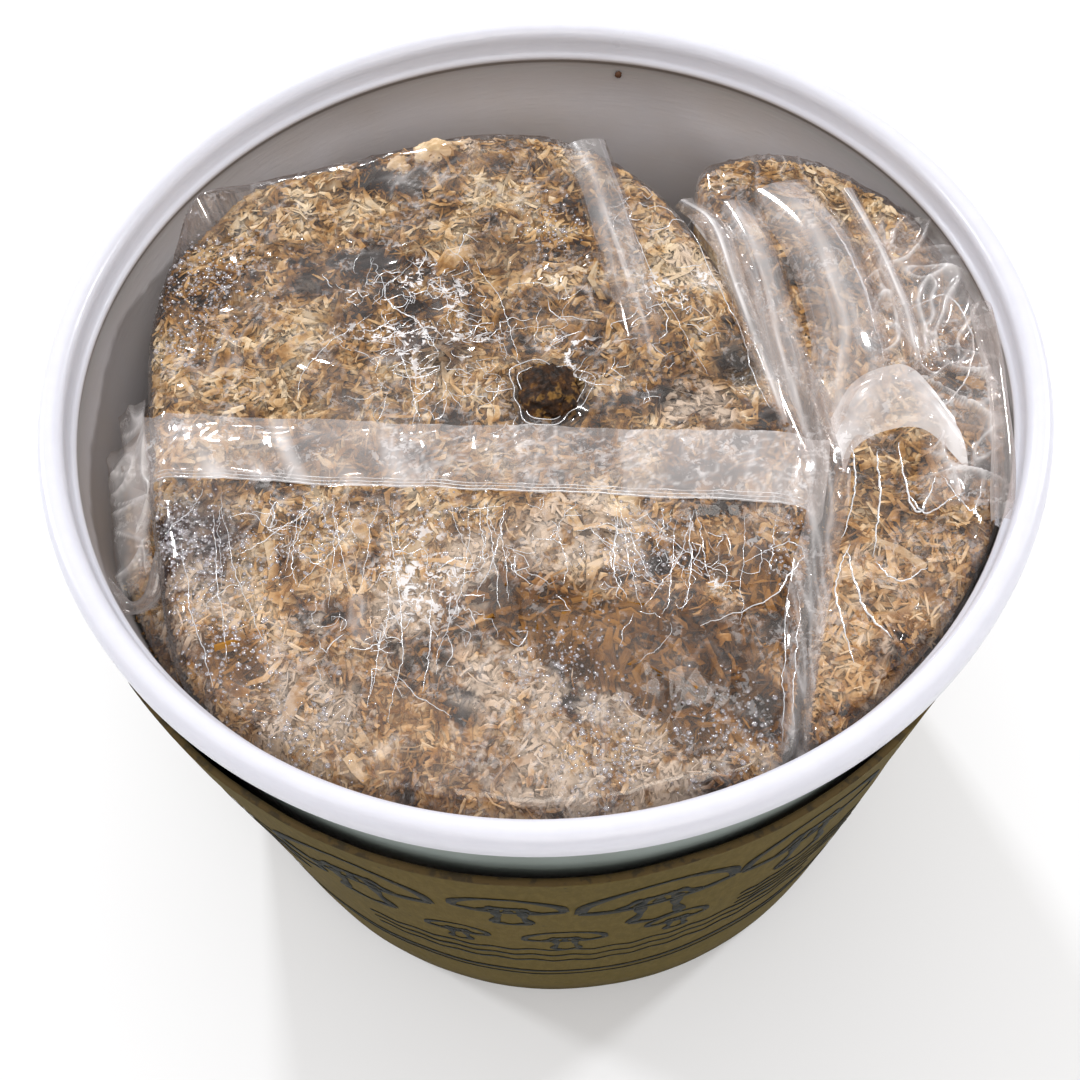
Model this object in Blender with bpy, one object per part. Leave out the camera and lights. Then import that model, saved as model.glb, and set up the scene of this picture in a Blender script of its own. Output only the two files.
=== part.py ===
"""Mushroom grow kit: three clear bags of colonised straw in a round plastic tub with a card sleeve.

The origin is the middle of the tub's underside, +Z is up and -Y is the front. Lengths are in metres.
"""

from math import cos, pi, sin

import bmesh
import bpy
from mathutils import Vector
from mathutils.bvhtree import BVHTree

MM = 0.001

# Tub
HEIGHT = 0.216                  # table to the top of the rim
RIM_RADIUS = 0.140              # widest line of the rolled rim
MOUTH_RADIUS = 0.1327           # clear mouth inside the rim
RIM_ROUND = 0.004               # height of the rim's rounded top
RIM_DEPTH = 0.0098              # rim's top to its lower edge
LEDGE_DEPTH = 0.0092            # rim's top to the ledge inside the mouth
LEDGE = 0.0013                  # how far the ledge stands into the mouth
WALL_TOP_DEPTH = 0.0145         # rim's top to the plain wall
WALL_TOP_RADIUS = 0.1355        # outside of the wall just under the rim
WALL_FOOT_RADIUS = 0.1195       # outside of the wall at the foot
WALL = 0.0030                   # wall thickness
FLOOR = 0.0026                  # floor thickness
FOOT_ROUND = 0.003              # rounding where the wall meets the floor
ROUND_STEPS = 60                # facets around the tub and the sleeve
ARC_STEPS = 6                   # facets over the rim's top

# Card sleeve, loose around the tub
SLEEVE_HEIGHT = 0.1815
SLEEVE_TOP_RADIUS = 0.1383
SLEEVE_FOOT_RADIUS = 0.1235
CARD = 0.0020
SLEEVE_TOP_SHIFT = -0.0014      # it leans this far towards -X at its top
SLEEVE_FOOT_SHIFT = 0.0006

# Bags
BAG_FOOT = FLOOR + 0.0022       # underside of the substrate blocks
FILM_CLEAR = 0.0005             # gap between a block and its film
FILM = 0.0010                   # modelled film wall
SIDE_LEVELS = (0.04, 0.5, 1.0)
FOOT_INSETS = (0.5, 0.97)
FOOT_SHRINK = 0.87              # the foot's middle lies this share of the crown's from the axis
CROWN_SCALES = (0.985, 0.93, 0.72, 0.45, 0.22, 0.10)
VENT_RINGS = {"main": 0, "right": 1, "left": 2}     # crown rings left out of the film at its cut
SHOULDER_POWER = 6              # squareness of the shoulder

# Header fins
SEAL_Y = -0.040
SEAL_SLOPE = -0.118
FIN_WIDTH = 0.024
FIN_LIFT = 0.0035               # how high the folded fin lies over the film
FIN_THICKNESS = 0.0008
FIN_STEPS = 14
FIN_ROOT = FILM_CLEAR + FILM / 2


class Bag:
    """A standing bag: outlines in millimetres at the shoulder and the foot, and its top surface."""

    def __init__(self, name, top, foot, crown, centre, drop, points):
        self.name = name
        self.top = top
        self.foot = foot
        self.crown = crown          # function (x, y) giving the height of the top surface
        self.centre = Vector(centre)
        self.drop = drop            # how far the shoulder falls at the outline
        self.points = points        # points around each level


def main_crown(x, y):
    """Low gable, highest along the header seal."""
    across = y - SEAL_Y - SEAL_SLOPE * x
    fall = 0.05 if across > 0 else 0.9
    return HEIGHT - 0.009 - fall * across * across


def right_crown(x, y):
    return HEIGHT - 0.008 - 0.35 * y * y


def left_crown(x, y):
    return HEIGHT - 0.036 - 1.2 * (y + 0.03) ** 2


MAIN = Bag(
    "main",
    [(76, -26), (65, 14), (47, 64), (19, 95), (-18, 100), (-60, 92), (-96, 76), (-113, 33),
     (-113, -8), (-106, -45), (-91, -88), (-58, -113), (-20, -126), (22, -125), (50, -115), (66, -70)],
    [(66, -23), (56, 12), (41, 56), (17, 83), (-15, 88), (-50, 84), (-76, 66), (-72, 30),
     (-72, -8), (-74, -44), (-76, -74), (-50, -98), (-17, -109), (19, -108), (43, -100), (57, -61)],
    main_crown, (0.002, -0.002), 0.016, 32)

RIGHT = Bag(
    "right",
    [(60, 84), (55, 62), (71, 18), (82, -24), (73, -68), (65, -98), (78, -99), (102, -76),
     (121, -39), (127, 0), (119, 44), (94, 78)],
    [(52, 73), (48, 54), (62, 16), (72, -20), (64, -59), (57, -85), (68, -86), (89, -66),
     (105, -34), (110, 0), (103, 38), (81, 68)],
    right_crown, (0.098, -0.004), 0.012, 24)

LEFT = Bag(
    "left",
    [(-113, -28), (-116, 6), (-121, 22), (-126, 0), (-122, -34), (-113, -57), (-105, -66), (-106, -50)],
    [(-78, -10), (-80, 22), (-88, 48), (-103, 34), (-109, 0), (-105, -30), (-92, -58), (-80, -46)],
    left_crown, (-0.119, -0.021), 0.006, 20)


def material(name, colour, roughness, alpha=1.0):
    made = bpy.data.materials.new(name)
    made.use_nodes = True
    shader = made.node_tree.nodes["Principled BSDF"]
    shader.inputs["Base Color"].default_value = (*colour, 1.0)
    shader.inputs["Roughness"].default_value = roughness
    shader.inputs["Metallic"].default_value = 0.0
    shader.inputs["Alpha"].default_value = alpha
    made.diffuse_color = (*colour, alpha)
    return made


def skin(rings, first=None, last=None, loop=False):
    """Triangle mesh through rings of equal length; first and last are points that close its ends."""
    mesh = bmesh.new()
    rows = [[mesh.verts.new(point) for point in ring] for ring in rings]
    pairs = list(zip(rows, rows[1:]))
    if loop:
        pairs.append((rows[-1], rows[0]))
    for low, high in pairs:
        for i, corner in enumerate(low):
            j = (i + 1) % len(low)
            mesh.faces.new((corner, low[j], high[j]))
            mesh.faces.new((corner, high[j], high[i]))
    for point, row, turn in ((first, rows[0], -1), (last, rows[-1], 1)):
        if point is None:
            continue
        tip = mesh.verts.new(point)
        for i, corner in enumerate(row):
            edge = (corner, row[(i + 1) % len(row)])
            mesh.faces.new((*edge[::turn], tip))
    mesh.normal_update()
    return mesh


def add_object(name, mesh, finish):
    """Turn a bmesh into a smooth shaded object of the scene."""
    data = bpy.data.meshes.new(name)
    mesh.to_mesh(data)
    mesh.free()
    data.materials.append(finish)
    data.shade_smooth()
    data.set_sharp_from_angle(angle=pi / 5)
    made = bpy.data.objects.new(name, data)
    bpy.context.scene.collection.objects.link(made)
    return made


def circle(radius, height, shift=0.0):
    turns = [2 * pi * i / ROUND_STEPS for i in range(ROUND_STEPS)]
    return [(shift + radius * cos(a), radius * sin(a), height) for a in turns]


def tub_profile():
    """Radius and height from the middle of the underside, up the outside and down the inside."""
    middle = (RIM_RADIUS + MOUTH_RADIUS) / 2
    half = (RIM_RADIUS - MOUTH_RADIUS) / 2
    crest = HEIGHT - RIM_ROUND
    turns = [pi * i / ARC_STEPS for i in range(ARC_STEPS + 1)]
    rounded = [(middle + half * cos(a), crest + RIM_ROUND * sin(a)) for a in turns]
    return [
        (WALL_FOOT_RADIUS - FOOT_ROUND, 0.0),
        (WALL_FOOT_RADIUS, FOOT_ROUND),
        (WALL_TOP_RADIUS, HEIGHT - WALL_TOP_DEPTH),
        (WALL_TOP_RADIUS + 0.0013, HEIGHT - WALL_TOP_DEPTH + 0.0010),
        (WALL_TOP_RADIUS + 0.0013, HEIGHT - RIM_DEPTH - 0.0014),
        (RIM_RADIUS - 0.0014, HEIGHT - RIM_DEPTH),
        *rounded,
        (MOUTH_RADIUS - 0.0001, HEIGHT - LEDGE_DEPTH + 0.0012),
        (MOUTH_RADIUS - LEDGE, HEIGHT - LEDGE_DEPTH),
        (MOUTH_RADIUS - LEDGE, HEIGHT - LEDGE_DEPTH - 0.0016),
        (WALL_TOP_RADIUS - WALL, HEIGHT - LEDGE_DEPTH - 0.0034),
        (WALL_FOOT_RADIUS - WALL, FLOOR + FOOT_ROUND),
        (WALL_FOOT_RADIUS - WALL - FOOT_ROUND, FLOOR),
    ]


def build_tub():
    rings = [circle(radius, height) for radius, height in tub_profile()]
    mesh = skin(rings, first=(0, 0, 0), last=(0, 0, FLOOR))
    return add_object("tub", mesh, material("white_plastic", (0.85, 0.85, 0.89), 0.35))


def build_sleeve():
    foot, top = SLEEVE_FOOT_RADIUS, SLEEVE_TOP_RADIUS
    rings = [
        circle(foot, 0.0, SLEEVE_FOOT_SHIFT),
        circle(top, SLEEVE_HEIGHT, SLEEVE_TOP_SHIFT),
        circle(top - CARD, SLEEVE_HEIGHT, SLEEVE_TOP_SHIFT),
        circle(foot - CARD, 0.0, SLEEVE_FOOT_SHIFT),
    ]
    return add_object("sleeve", skin(rings, loop=True), material("kraft_card", (0.40, 0.31, 0.18), 0.9))


def outline(bag, level):
    """Closed smooth curve between the foot (level 0) and the shoulder (level 1), in metres."""
    corners = [Vector(f).lerp(Vector(t), level) * MM for f, t in zip(bag.foot, bag.top)]
    count = len(corners)
    curve = []
    for i in range(bag.points):
        place = i * count / bag.points
        k = int(place)
        u = place - k
        a, b, c, d = (corners[(k + n) % count] for n in (-1, 0, 1, 2))
        curve.append(0.5 * (2 * b + (c - a) * u + (2 * a - 5 * b + 4 * c - d) * u ** 2
                            + (3 * b - a - 3 * c + d) * u ** 3))
    return curve


def bag_rings(bag):
    """Levels of the block from its underside, up its sides and over its crown."""
    foot, shoulder = outline(bag, 0.0), outline(bag, 1.0)
    middle = bag.centre * FOOT_SHRINK
    rings = []
    for inset in FOOT_INSETS:
        rings.append([(*middle.lerp(point, inset), BAG_FOOT) for point in foot])
    tops = [bag.crown(*point) - bag.drop for point in shoulder]
    for level in SIDE_LEVELS:
        ring = []
        for point, top in zip(outline(bag, level), tops):
            ring.append((*point, BAG_FOOT + level * (top - BAG_FOOT)))
        rings.append(ring)
    for scale in CROWN_SCALES:
        fall = bag.drop * (1 - (1 - scale ** SHOULDER_POWER) ** (1 / SHOULDER_POWER))
        places = [bag.centre.lerp(point, scale) for point in shoulder]
        rings.append([(*place, bag.crown(*place) - fall) for place in places])
    return rings, (*middle, BAG_FOOT), (*bag.centre, bag.crown(*bag.centre))


def build_block(bag, finish):
    rings, foot, tip = bag_rings(bag)
    return add_object(f"{bag.name}_substrate", skin(rings, first=foot, last=tip), finish)


def add_solidify(made, thickness, offset):
    wall = made.modifiers.new("wall", "SOLIDIFY")
    wall.thickness = thickness
    wall.offset = offset
    wall.use_rim = True


def build_film(bag, finish):
    """Film just outside the block, open at the cut hole in its crown."""
    rings, foot, _ = bag_rings(bag)
    mesh = skin(rings[:len(rings) - VENT_RINGS[bag.name]], first=foot)
    for corner in mesh.verts:
        corner.co += corner.normal * FILM_CLEAR
    film = add_object(f"{bag.name}_bag_film", mesh, finish)
    add_solidify(film, FILM, 1.0)
    return film


def add_fin(bag, film, start, end, width, arch, finish):
    """Header fin: its root stands in the film wall along start-end, and it lies back towards +Y."""
    rings, foot, tip = bag_rings(bag)
    block = skin(rings, first=foot, last=tip)
    surface = BVHTree.FromBMesh(block)
    block.free()
    rows = []
    for i in range(FIN_STEPS + 1):
        share = i / FIN_STEPS
        root = Vector(start).lerp(Vector(end), share)
        row = []
        for reach, lift in ((0.0, FIN_ROOT), (0.12, FIN_LIFT), (0.55, FIN_LIFT + arch), (1.0, FIN_LIFT)):
            place = Vector((root.x, root.y + reach * width, 1.0))
            floor = surface.ray_cast(place, Vector((0, 0, -1)))[0]
            bow = arch * sin(pi * share) if reach > 0 else 0.0
            row.append((place.x, place.y, floor.z + lift + bow))
        rows.append(row)
    mesh = bmesh.new()
    grid = [[mesh.verts.new(point) for point in row] for row in rows]
    for low, high in zip(grid, grid[1:]):
        for k in range(len(low) - 1):
            mesh.faces.new((low[k], high[k], high[k + 1], low[k + 1]))
    mesh.normal_update()
    fin = add_object(f"{bag.name}_fin_tool", mesh, finish)
    add_solidify(fin, FIN_THICKNESS, 0.0)
    fin.hide_render = True
    fin.display_type = "WIRE"
    join = film.modifiers.new("fin", "BOOLEAN")
    join.operation = "UNION"
    join.object = fin


def seal_point(x):
    return (x, SEAL_Y + SEAL_SLOPE * x)


def main():
    for old in list(bpy.data.objects):
        bpy.data.objects.remove(old)
    build_tub()
    build_sleeve()
    clear = material("clear_film", (0.80, 0.80, 0.83), 0.15, alpha=0.35)
    straw = material("colonised_straw", (0.47, 0.31, 0.17), 0.85)
    films = {}
    for bag in (MAIN, RIGHT, LEFT):
        build_block(bag, straw)
        films[bag.name] = build_film(bag, clear)
    add_fin(MAIN, films["main"], seal_point(-0.102), seal_point(0.068), FIN_WIDTH, 0.0, clear)
    add_fin(RIGHT, films["right"], (0.088, -0.020), (0.116, -0.026), 0.020, 0.004, clear)


main()
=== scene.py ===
"""Looks of a mushroom grow kit: clear bags of colonised straw in a white tub with a card sleeve.

Lengths are in metres unless a name says otherwise. -Y is the front, and +Z is up.
"""

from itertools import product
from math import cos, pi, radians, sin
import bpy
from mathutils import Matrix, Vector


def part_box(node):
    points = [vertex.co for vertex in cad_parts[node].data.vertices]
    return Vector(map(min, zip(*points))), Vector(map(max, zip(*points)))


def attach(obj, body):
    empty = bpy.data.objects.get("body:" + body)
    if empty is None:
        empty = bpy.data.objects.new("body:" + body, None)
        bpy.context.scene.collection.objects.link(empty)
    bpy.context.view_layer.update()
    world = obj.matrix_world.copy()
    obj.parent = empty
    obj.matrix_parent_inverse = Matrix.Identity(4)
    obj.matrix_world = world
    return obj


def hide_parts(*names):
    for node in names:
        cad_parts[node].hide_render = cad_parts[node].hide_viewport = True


bl_info = {
    "name": "Mushroom Grow Kit",
    "version": (1, 0, 0),
    "blender": (4, 5, 0),
    "location": "View3D > Sidebar > Grow Kit",
    "description": "Builds a tub of bagged straw substrate with its card sleeve",
    "category": "Add Mesh",
}

import bpy
import numpy as np
from bpy.props import FloatProperty, FloatVectorProperty, IntProperty, PointerProperty
from mathutils import Euler, Matrix, Vector

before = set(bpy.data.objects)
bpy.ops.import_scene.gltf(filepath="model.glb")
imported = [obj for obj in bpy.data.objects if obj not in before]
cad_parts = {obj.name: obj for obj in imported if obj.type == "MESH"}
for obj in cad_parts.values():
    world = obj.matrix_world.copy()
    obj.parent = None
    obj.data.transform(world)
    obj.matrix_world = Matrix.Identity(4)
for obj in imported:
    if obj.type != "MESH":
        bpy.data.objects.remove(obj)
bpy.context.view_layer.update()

TUB_LOW, TUB_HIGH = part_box("tub")
SLEEVE_LOW, SLEEVE_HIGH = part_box("sleeve")
RIM = TUB_HIGH.z
BODY = "root"
MM = 0.001
HOLE = (0.0018, -0.0050)           # middle of the opening in the main film, in plan
HOLE_RADIUS = 0.0080


# ---------------------------------------------------------------- shader expressions

class Wire:
    """An output socket in an expression: arithmetic on it adds Math nodes."""

    def __init__(self, maker, socket):
        self.maker = maker
        self.socket = socket

    def math(self, operation, *values):
        inputs = dict(enumerate(values))
        return self.maker.node("ShaderNodeMath", {"operation": operation}, inputs)

    def __add__(self, other):
        return self.math("ADD", self, other)

    def __sub__(self, other):
        return self.math("SUBTRACT", self, other)

    def __rsub__(self, other):
        return self.math("SUBTRACT", other, self)

    def __mul__(self, other):
        return self.math("MULTIPLY", self, other)

    def __truediv__(self, other):
        return self.math("DIVIDE", self, other)

    def __pow__(self, power):
        return self.math("POWER", self, power)

    def __abs__(self):
        return self.math("ABSOLUTE", self)

    def least(self, other):
        return self.math("MINIMUM", self, other)

    def most(self, other):
        return self.math("MAXIMUM", self, other)

    def clamp(self):
        return self.least(1.0).most(0.0)

    def step(self, low, high):
        """0 below low, 1 above high and smooth between them."""
        settings = {"interpolation_type": "SMOOTHSTEP"}
        inputs = {"Value": self, "From Min": low, "From Max": high}
        return self.maker.node("ShaderNodeMapRange", settings, inputs)

    __radd__ = __add__
    __rmul__ = __mul__


class Finish:
    """A material under construction."""

    def __init__(self, name):
        self.material = bpy.data.materials.new(name)
        self.material.use_nodes = True
        self.tree = self.material.node_tree
        self.tree.nodes.clear()
        self.wander = None

    def node(self, kind, settings=None, inputs=None, output=0):
        """Add a node, set its settings, then set or link its sockets."""
        made = self.tree.nodes.new(kind)
        for key, value in (settings or {}).items():
            if key == "stops":
                self.set_stops(made.color_ramp, value)
            else:
                setattr(made, key, value)
        for key, value in (inputs or {}).items():
            socket = made.inputs[key]
            if isinstance(value, Wire):
                self.tree.links.new(value.socket, socket)
            elif socket.type == "RGBA":
                socket.default_value = (*value[:3], 1.0)
            else:
                socket.default_value = value
        return Wire(self, made.outputs[output]) if made.outputs else None

    @staticmethod
    def set_stops(ramp, stops):
        while len(ramp.elements) < len(stops):
            ramp.elements.new(0.5)
        for element, (position, colour) in zip(ramp.elements, stops):
            element.position = position
            element.color = (*colour, 1.0)

    def place(self):
        return self.node("ShaderNodeTexCoord", output="Object")

    def axis(self, name):
        return self.node("ShaderNodeSeparateXYZ", {}, {0: self.place()}, output=name)

    def stretched(self, x, y, z):
        inputs = {0: self.place(), 1: (x, y, z)}
        return self.node("ShaderNodeVectorMath", {"operation": "MULTIPLY"}, inputs)

    def noise(self, size, detail=3.0, rough=0.55, vector=None, warp=0.0):
        """Noise from 0 to 1 whose features are about size across."""
        inputs = {"Vector": vector or self.place(), "Scale": 0.6 / size, "Detail": detail,
                  "Roughness": rough, "Distortion": warp}
        return self.node("ShaderNodeTexNoise", {}, inputs, output="Fac")

    def cells(self, size, feature="F1", vector=None, output="Distance"):
        inputs = {"Vector": vector or self.place(), "Scale": 1.0 / size}
        return self.node("ShaderNodeTexVoronoi", {"feature": feature}, inputs, output)

    def stored(self, name):
        return self.node("ShaderNodeAttribute", {"attribute_name": name}, output="Fac")

    def ramp(self, factor, *stops):
        return self.node("ShaderNodeValToRGB", {"stops": stops}, {"Fac": factor}, output="Color")

    def mix(self, factor, first, second, blend="MIX"):
        settings = {"data_type": "RGBA", "blend_type": blend}
        return self.node("ShaderNodeMix", settings, {0: factor, 6: first, 7: second}, output=2)

    def bump(self, height, strength, distance, normal=None):
        inputs = {"Height": height, "Strength": strength, "Distance": distance}
        if normal:
            inputs["Normal"] = normal
        return self.node("ShaderNodeBump", {}, inputs)

    def blob(self, x, y, radius, soft=0.5):
        """1 within radius of a point in plan, falling to 0 over a soft share outside it."""
        off_x, off_y = self.axis("X") - x, self.axis("Y") - y
        away = (off_x * off_x + off_y * off_y) ** 0.5
        if self.wander is None:
            self.wander = self.noise(0.006, 2.0) - 0.5
        return (away + self.wander * (radius * 0.9)).step(radius * (1 + soft), radius * (1 - soft))

    def principled(self, **inputs):
        """Principled shader; Base_Color and the like name its sockets."""
        named = {key.replace("_", " "): value for key, value in inputs.items()}
        return self.node("ShaderNodeBsdfPrincipled", {}, named)

    def blend_shaders(self, factor, first, second):
        return self.node("ShaderNodeMixShader", {}, {0: factor, 1: first, 2: second})

    def done(self, shader):
        self.node("ShaderNodeOutputMaterial", {}, {"Surface": shader})
        return self.material


# ---------------------------------------------------------------- shapes

class Noise:
    """Seeded gradient noise, about -1 to 1, read at many points at once."""

    def __init__(self, seed):
        draw = np.random.default_rng(seed)
        self.order = np.tile(draw.permutation(256), 3)
        slopes = draw.normal(size=(256, 3))
        self.slopes = slopes / np.linalg.norm(slopes, axis=1, keepdims=True)

    def __call__(self, points, size):
        scaled = np.asarray(points, float) / size
        cell = np.floor(scaled).astype(int)
        part = scaled - cell
        fade = part ** 3 * (part * (part * 6 - 15) + 10)
        cell &= 255
        total = np.zeros(len(scaled))
        for corner in product((0, 1), repeat=3):
            at = cell + corner
            key = self.order[self.order[self.order[at[:, 0]] + at[:, 1]] + at[:, 2]]
            weight = np.prod(np.where(corner, fade, 1 - fade), axis=1)
            total += weight * np.sum(self.slopes[key] * (part - corner), axis=1)
        return total * 1.7

    def ridged(self, points, size, sharp=3.0):
        """Sharp crests of height 1 where the noise crosses zero."""
        return np.clip(1 - np.abs(self(points, size)) * 1.6, 0, 1) ** sharp


def flat(x, y):
    """Points in plan as three columns, for noise."""
    return np.stack([x, y, np.zeros_like(x)], axis=1)


def bell(x, y, centre, radius, stretch=1.0, turn=0.0):
    """Smooth hump of height 1; stretch lengthens it along the turned x axis."""
    away_x, away_y = x - centre[0] * MM, y - centre[1] * MM
    along = (away_x * cos(turn) + away_y * sin(turn)) / stretch
    across = away_y * cos(turn) - away_x * sin(turn)
    return np.exp(-(along ** 2 + across ** 2) / (radius * MM) ** 2)


def closed_curve(corners, places):
    """Points of the smooth closed curve through corners, at places counted in corners."""
    corners = np.asarray(corners, float)
    first = np.floor(places).astype(int)
    u = (places - first)[:, None]
    a, b, c, d = (corners[(first + n) % len(corners)] for n in (-1, 0, 1, 2))
    return 0.5 * (2 * b + (c - a) * u + (2 * a - 5 * b + 4 * c - d) * u ** 2
                  + (3 * b - a - 3 * c + d) * u ** 3)


def evenly(corners, start, end, count):
    """Places between start and end that divide the closed curve into equal lengths."""
    fine = np.linspace(start, end, 400)
    line = closed_curve(corners, fine)
    length = np.concatenate([[0], np.cumsum(np.linalg.norm(np.diff(line, axis=0), axis=1))])
    return np.interp(np.linspace(0, length[-1], count), length, fine)


def smooth_path(corners, count):
    """Open smooth curve through corners, as count points."""
    corners = np.asarray(corners, float)
    ends = np.concatenate([[2 * corners[0] - corners[1]], corners, [2 * corners[-1] - corners[-2]]])
    places = np.linspace(1, len(corners), count)
    first = np.minimum(np.floor(places).astype(int), len(corners) - 1)
    u = (places - first)[:, None]
    a, b, c, d = (ends[first + n] for n in (-1, 0, 1, 2))
    return 0.5 * (2 * b + (c - a) * u + (2 * a - 5 * b + 4 * c - d) * u ** 2
                  + (3 * b - a - 3 * c + d) * u ** 3)


def grid_faces(rows, columns, wrap=False):
    """Quads of a grid whose points run along each row."""
    last = columns if wrap else columns - 1
    row, column = np.meshgrid(np.arange(rows - 1), np.arange(last), indexing="ij")
    beside = (column + 1) % columns
    quads = [row * columns + column, row * columns + beside,
             (row + 1) * columns + beside, (row + 1) * columns + column]
    return np.stack([q.ravel() for q in quads], axis=1)


def add_piece(name, points, faces, finish, slot, stands_for=None, smooth=True, **values):
    """Make a mesh object that rides on the body; values are numbers stored at its points."""
    data = bpy.data.meshes.new(name)
    data.from_pydata(np.asarray(points).tolist(), [], [list(f) for f in faces])
    data.materials.append(finish)
    if smooth:
        data.shade_smooth()
    for key, numbers in values.items():
        stored = data.attributes.new(key, "FLOAT", "POINT")
        stored.data.foreach_set("value", np.asarray(numbers, np.float32))
    data.validate()
    made = bpy.data.objects.new(name, data)
    bpy.context.scene.collection.objects.link(made)
    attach(made, BODY)
    if stands_for:
        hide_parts(stands_for)
    if slot == "clear_film":
        made.visible_shadow = False
        made.visible_diffuse = False
    return made


def sweep(paths, widths, sides=3):
    """Closed tubes along paths of points, as one batch of points and faces."""
    points, faces = [], []
    base = 0
    turns = [2 * pi * i / sides for i in range(sides)]
    for path, width in zip(paths, widths):
        path = np.asarray(path)
        ahead = np.gradient(path, axis=0)
        ahead /= np.linalg.norm(ahead, axis=1, keepdims=True) + 1e-12
        aside = np.cross(ahead, (0.0, 0.0, 1.0))
        aside /= np.linalg.norm(aside, axis=1, keepdims=True) + 1e-12
        above = np.cross(aside, ahead)
        taper = np.sin(np.linspace(0.12, pi - 0.12, len(path))) ** 0.5
        for turn in turns:
            reach = (aside * cos(turn) + above * sin(turn)) * (width / 2 * taper)[:, None]
            points.append(path + reach)
        count = len(path)
        for k in range(sides):
            here, there = base + k * count, base + (k + 1) % sides * count
            for i in range(count - 1):
                faces.append((here + i, there + i, there + i + 1, here + i + 1))
        faces.append([base + k * count for k in range(sides)][::-1])
        faces.append([base + k * count + count - 1 for k in range(sides)])
        base += sides * count
    return np.concatenate(points), faces


# ---------------------------------------------------------------- bags

class Bag:
    """A standing bag: outlines in millimetres, four corners of its top, its height and relief."""

    def __init__(self, name, top, foot, corners, crown, drop, shoulder, relief):
        self.name = name
        self.top = np.array(top, float) * MM
        self.foot = np.array(foot, float) * MM
        self.corners = corners      # places on the outline: front right, rear right, rear left, front left
        self.crown = crown
        self.drop = drop
        self.shoulder = shoulder    # width of the rounded edge in plan
        self.relief = relief
        self.edge = closed_curve(self.top, np.linspace(0, len(top), 500, endpoint=False))

    def sides(self, columns, rows):
        """Places on the outline for its right, rear, left and front sides, anticlockwise."""
        a, b, c, d = self.corners
        whole = len(self.top)
        ends = [(a, b, rows), (b, c, columns), (c, d, rows), (d, a, columns)]
        return [evenly(self.top, s, e if e > s else e + whole, n) for s, e, n in ends]

    def patch(self, columns, rows, inset=0.0):
        """Grid of plan points that fills the outline, from the front row to the rear one."""
        right, rear, left, front = [closed_curve(self.top, p) for p in self.sides(columns, rows)]
        rear, left = rear[::-1], left[::-1]
        u = np.linspace(0, 1, columns)[None, :, None]
        v = np.linspace(0, 1, rows)[:, None, None]
        filled = (1 - v) * front[None] + v * rear[None] + (1 - u) * left[:, None] + u * right[:, None]
        filled -= (1 - v) * ((1 - u) * front[0] + u * front[-1]) + v * ((1 - u) * rear[0] + u * rear[-1])
        centre = self.top.mean(axis=0)
        return (centre + (filled - centre) * (1 - inset)).reshape(-1, 2)

    def rim_index(self, columns, rows):
        """Indices of the patch's border points, anticlockwise, with their outline places."""
        right = np.arange(rows) * columns + columns - 1
        rear = (rows - 1) * columns + np.arange(columns)[::-1]
        left = np.arange(rows)[::-1] * columns
        front = np.arange(columns)
        index = np.concatenate([right[:-1], rear[:-1], left[:-1], front[:-1]])
        places = np.concatenate([p[:-1] for p in self.sides(columns, rows)])
        return index, places

    def holds(self, x, y):
        """Whether each point in plan is within the outline."""
        crossings = np.zeros(len(x), int)
        for a, b in zip(self.edge, np.roll(self.edge, -1, axis=0)):
            if a[1] != b[1]:
                reached = a[0] + (y - a[1]) * (b[0] - a[0]) / (b[1] - a[1])
                crossings += ((a[1] > y) != (b[1] > y)) & (x < reached)
        return crossings % 2 == 1

    def inside(self, x, y):
        """Distance in plan from each point to the outline."""
        away = np.full(len(x), 1.0)
        for edge_x, edge_y in self.edge:
            away = np.minimum(away, (x - edge_x) ** 2 + (y - edge_y) ** 2)
        return np.sqrt(away)

    def straw_top(self, x, y, fine=1.0):
        """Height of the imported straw, with its rounded edge; fine scales its small lumps."""
        share = np.clip(1 - self.inside(x, y) / self.shoulder, 0, 1)
        fall = self.drop * (1 - np.sqrt(np.clip(1 - share ** 2.4, 0, 1)))
        return self.crown(x, y) - fall + self.relief(x, y, fine)


def seal_line(x):
    return (-41.0 * MM) - 0.115 * x


def main_crown(x, y):
    across = y - seal_line(x)
    return RIM - 0.010 - np.where(across > 0, 0.05, 0.9) * across ** 2


def right_crown(x, y):
    return RIM - 0.010 - 0.35 * y ** 2


def left_crown(x, y):
    return RIM - 0.034 - 1.2 * (y + 0.03) ** 2


LUMPS = Noise(11)


def main_relief(x, y, fine):
    here = flat(x, y)
    lift = 1.9 * LUMPS(here, 0.036) + fine * (1.5 * LUMPS(here, 0.013) + 0.6 * LUMPS(here, 0.006))
    lift += 3.5 * bell(x, y, (-16, 92), 14, 1.5)
    lift += 4.5 * bell(x, y, (6, -80), 9, 2.6, -0.5)
    lift += 3.5 * bell(x, y, (32, -92), 12)
    lift -= 5.0 * bell(x, y, (2, -6), 9)
    lift -= 3.5 * bell(x, y, (57, 2), 9)
    lift -= 5.0 * bell(x, y, (-100, 66), 16)
    return lift * MM


def right_relief(x, y, fine):
    here = flat(x, y) + (0.5, 0.0, 0.0)
    lift = 2.0 * LUMPS(here, 0.030) + fine * (1.4 * LUMPS(here, 0.012) + 0.5 * LUMPS(here, 0.006))
    lift += 3.0 * bell(x, y, (104, -62), 16) - 6.0 * bell(x, y, (121, 12), 16, 1.6, 1.4)
    return lift * MM


def left_relief(x, y, fine):
    here = flat(x, y) + (0.9, 0.0, 0.0)
    return (1.5 * fine * LUMPS(here, 0.016) + 5.0 * bell(x, y, (-114, -46), 9)) * MM


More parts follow.
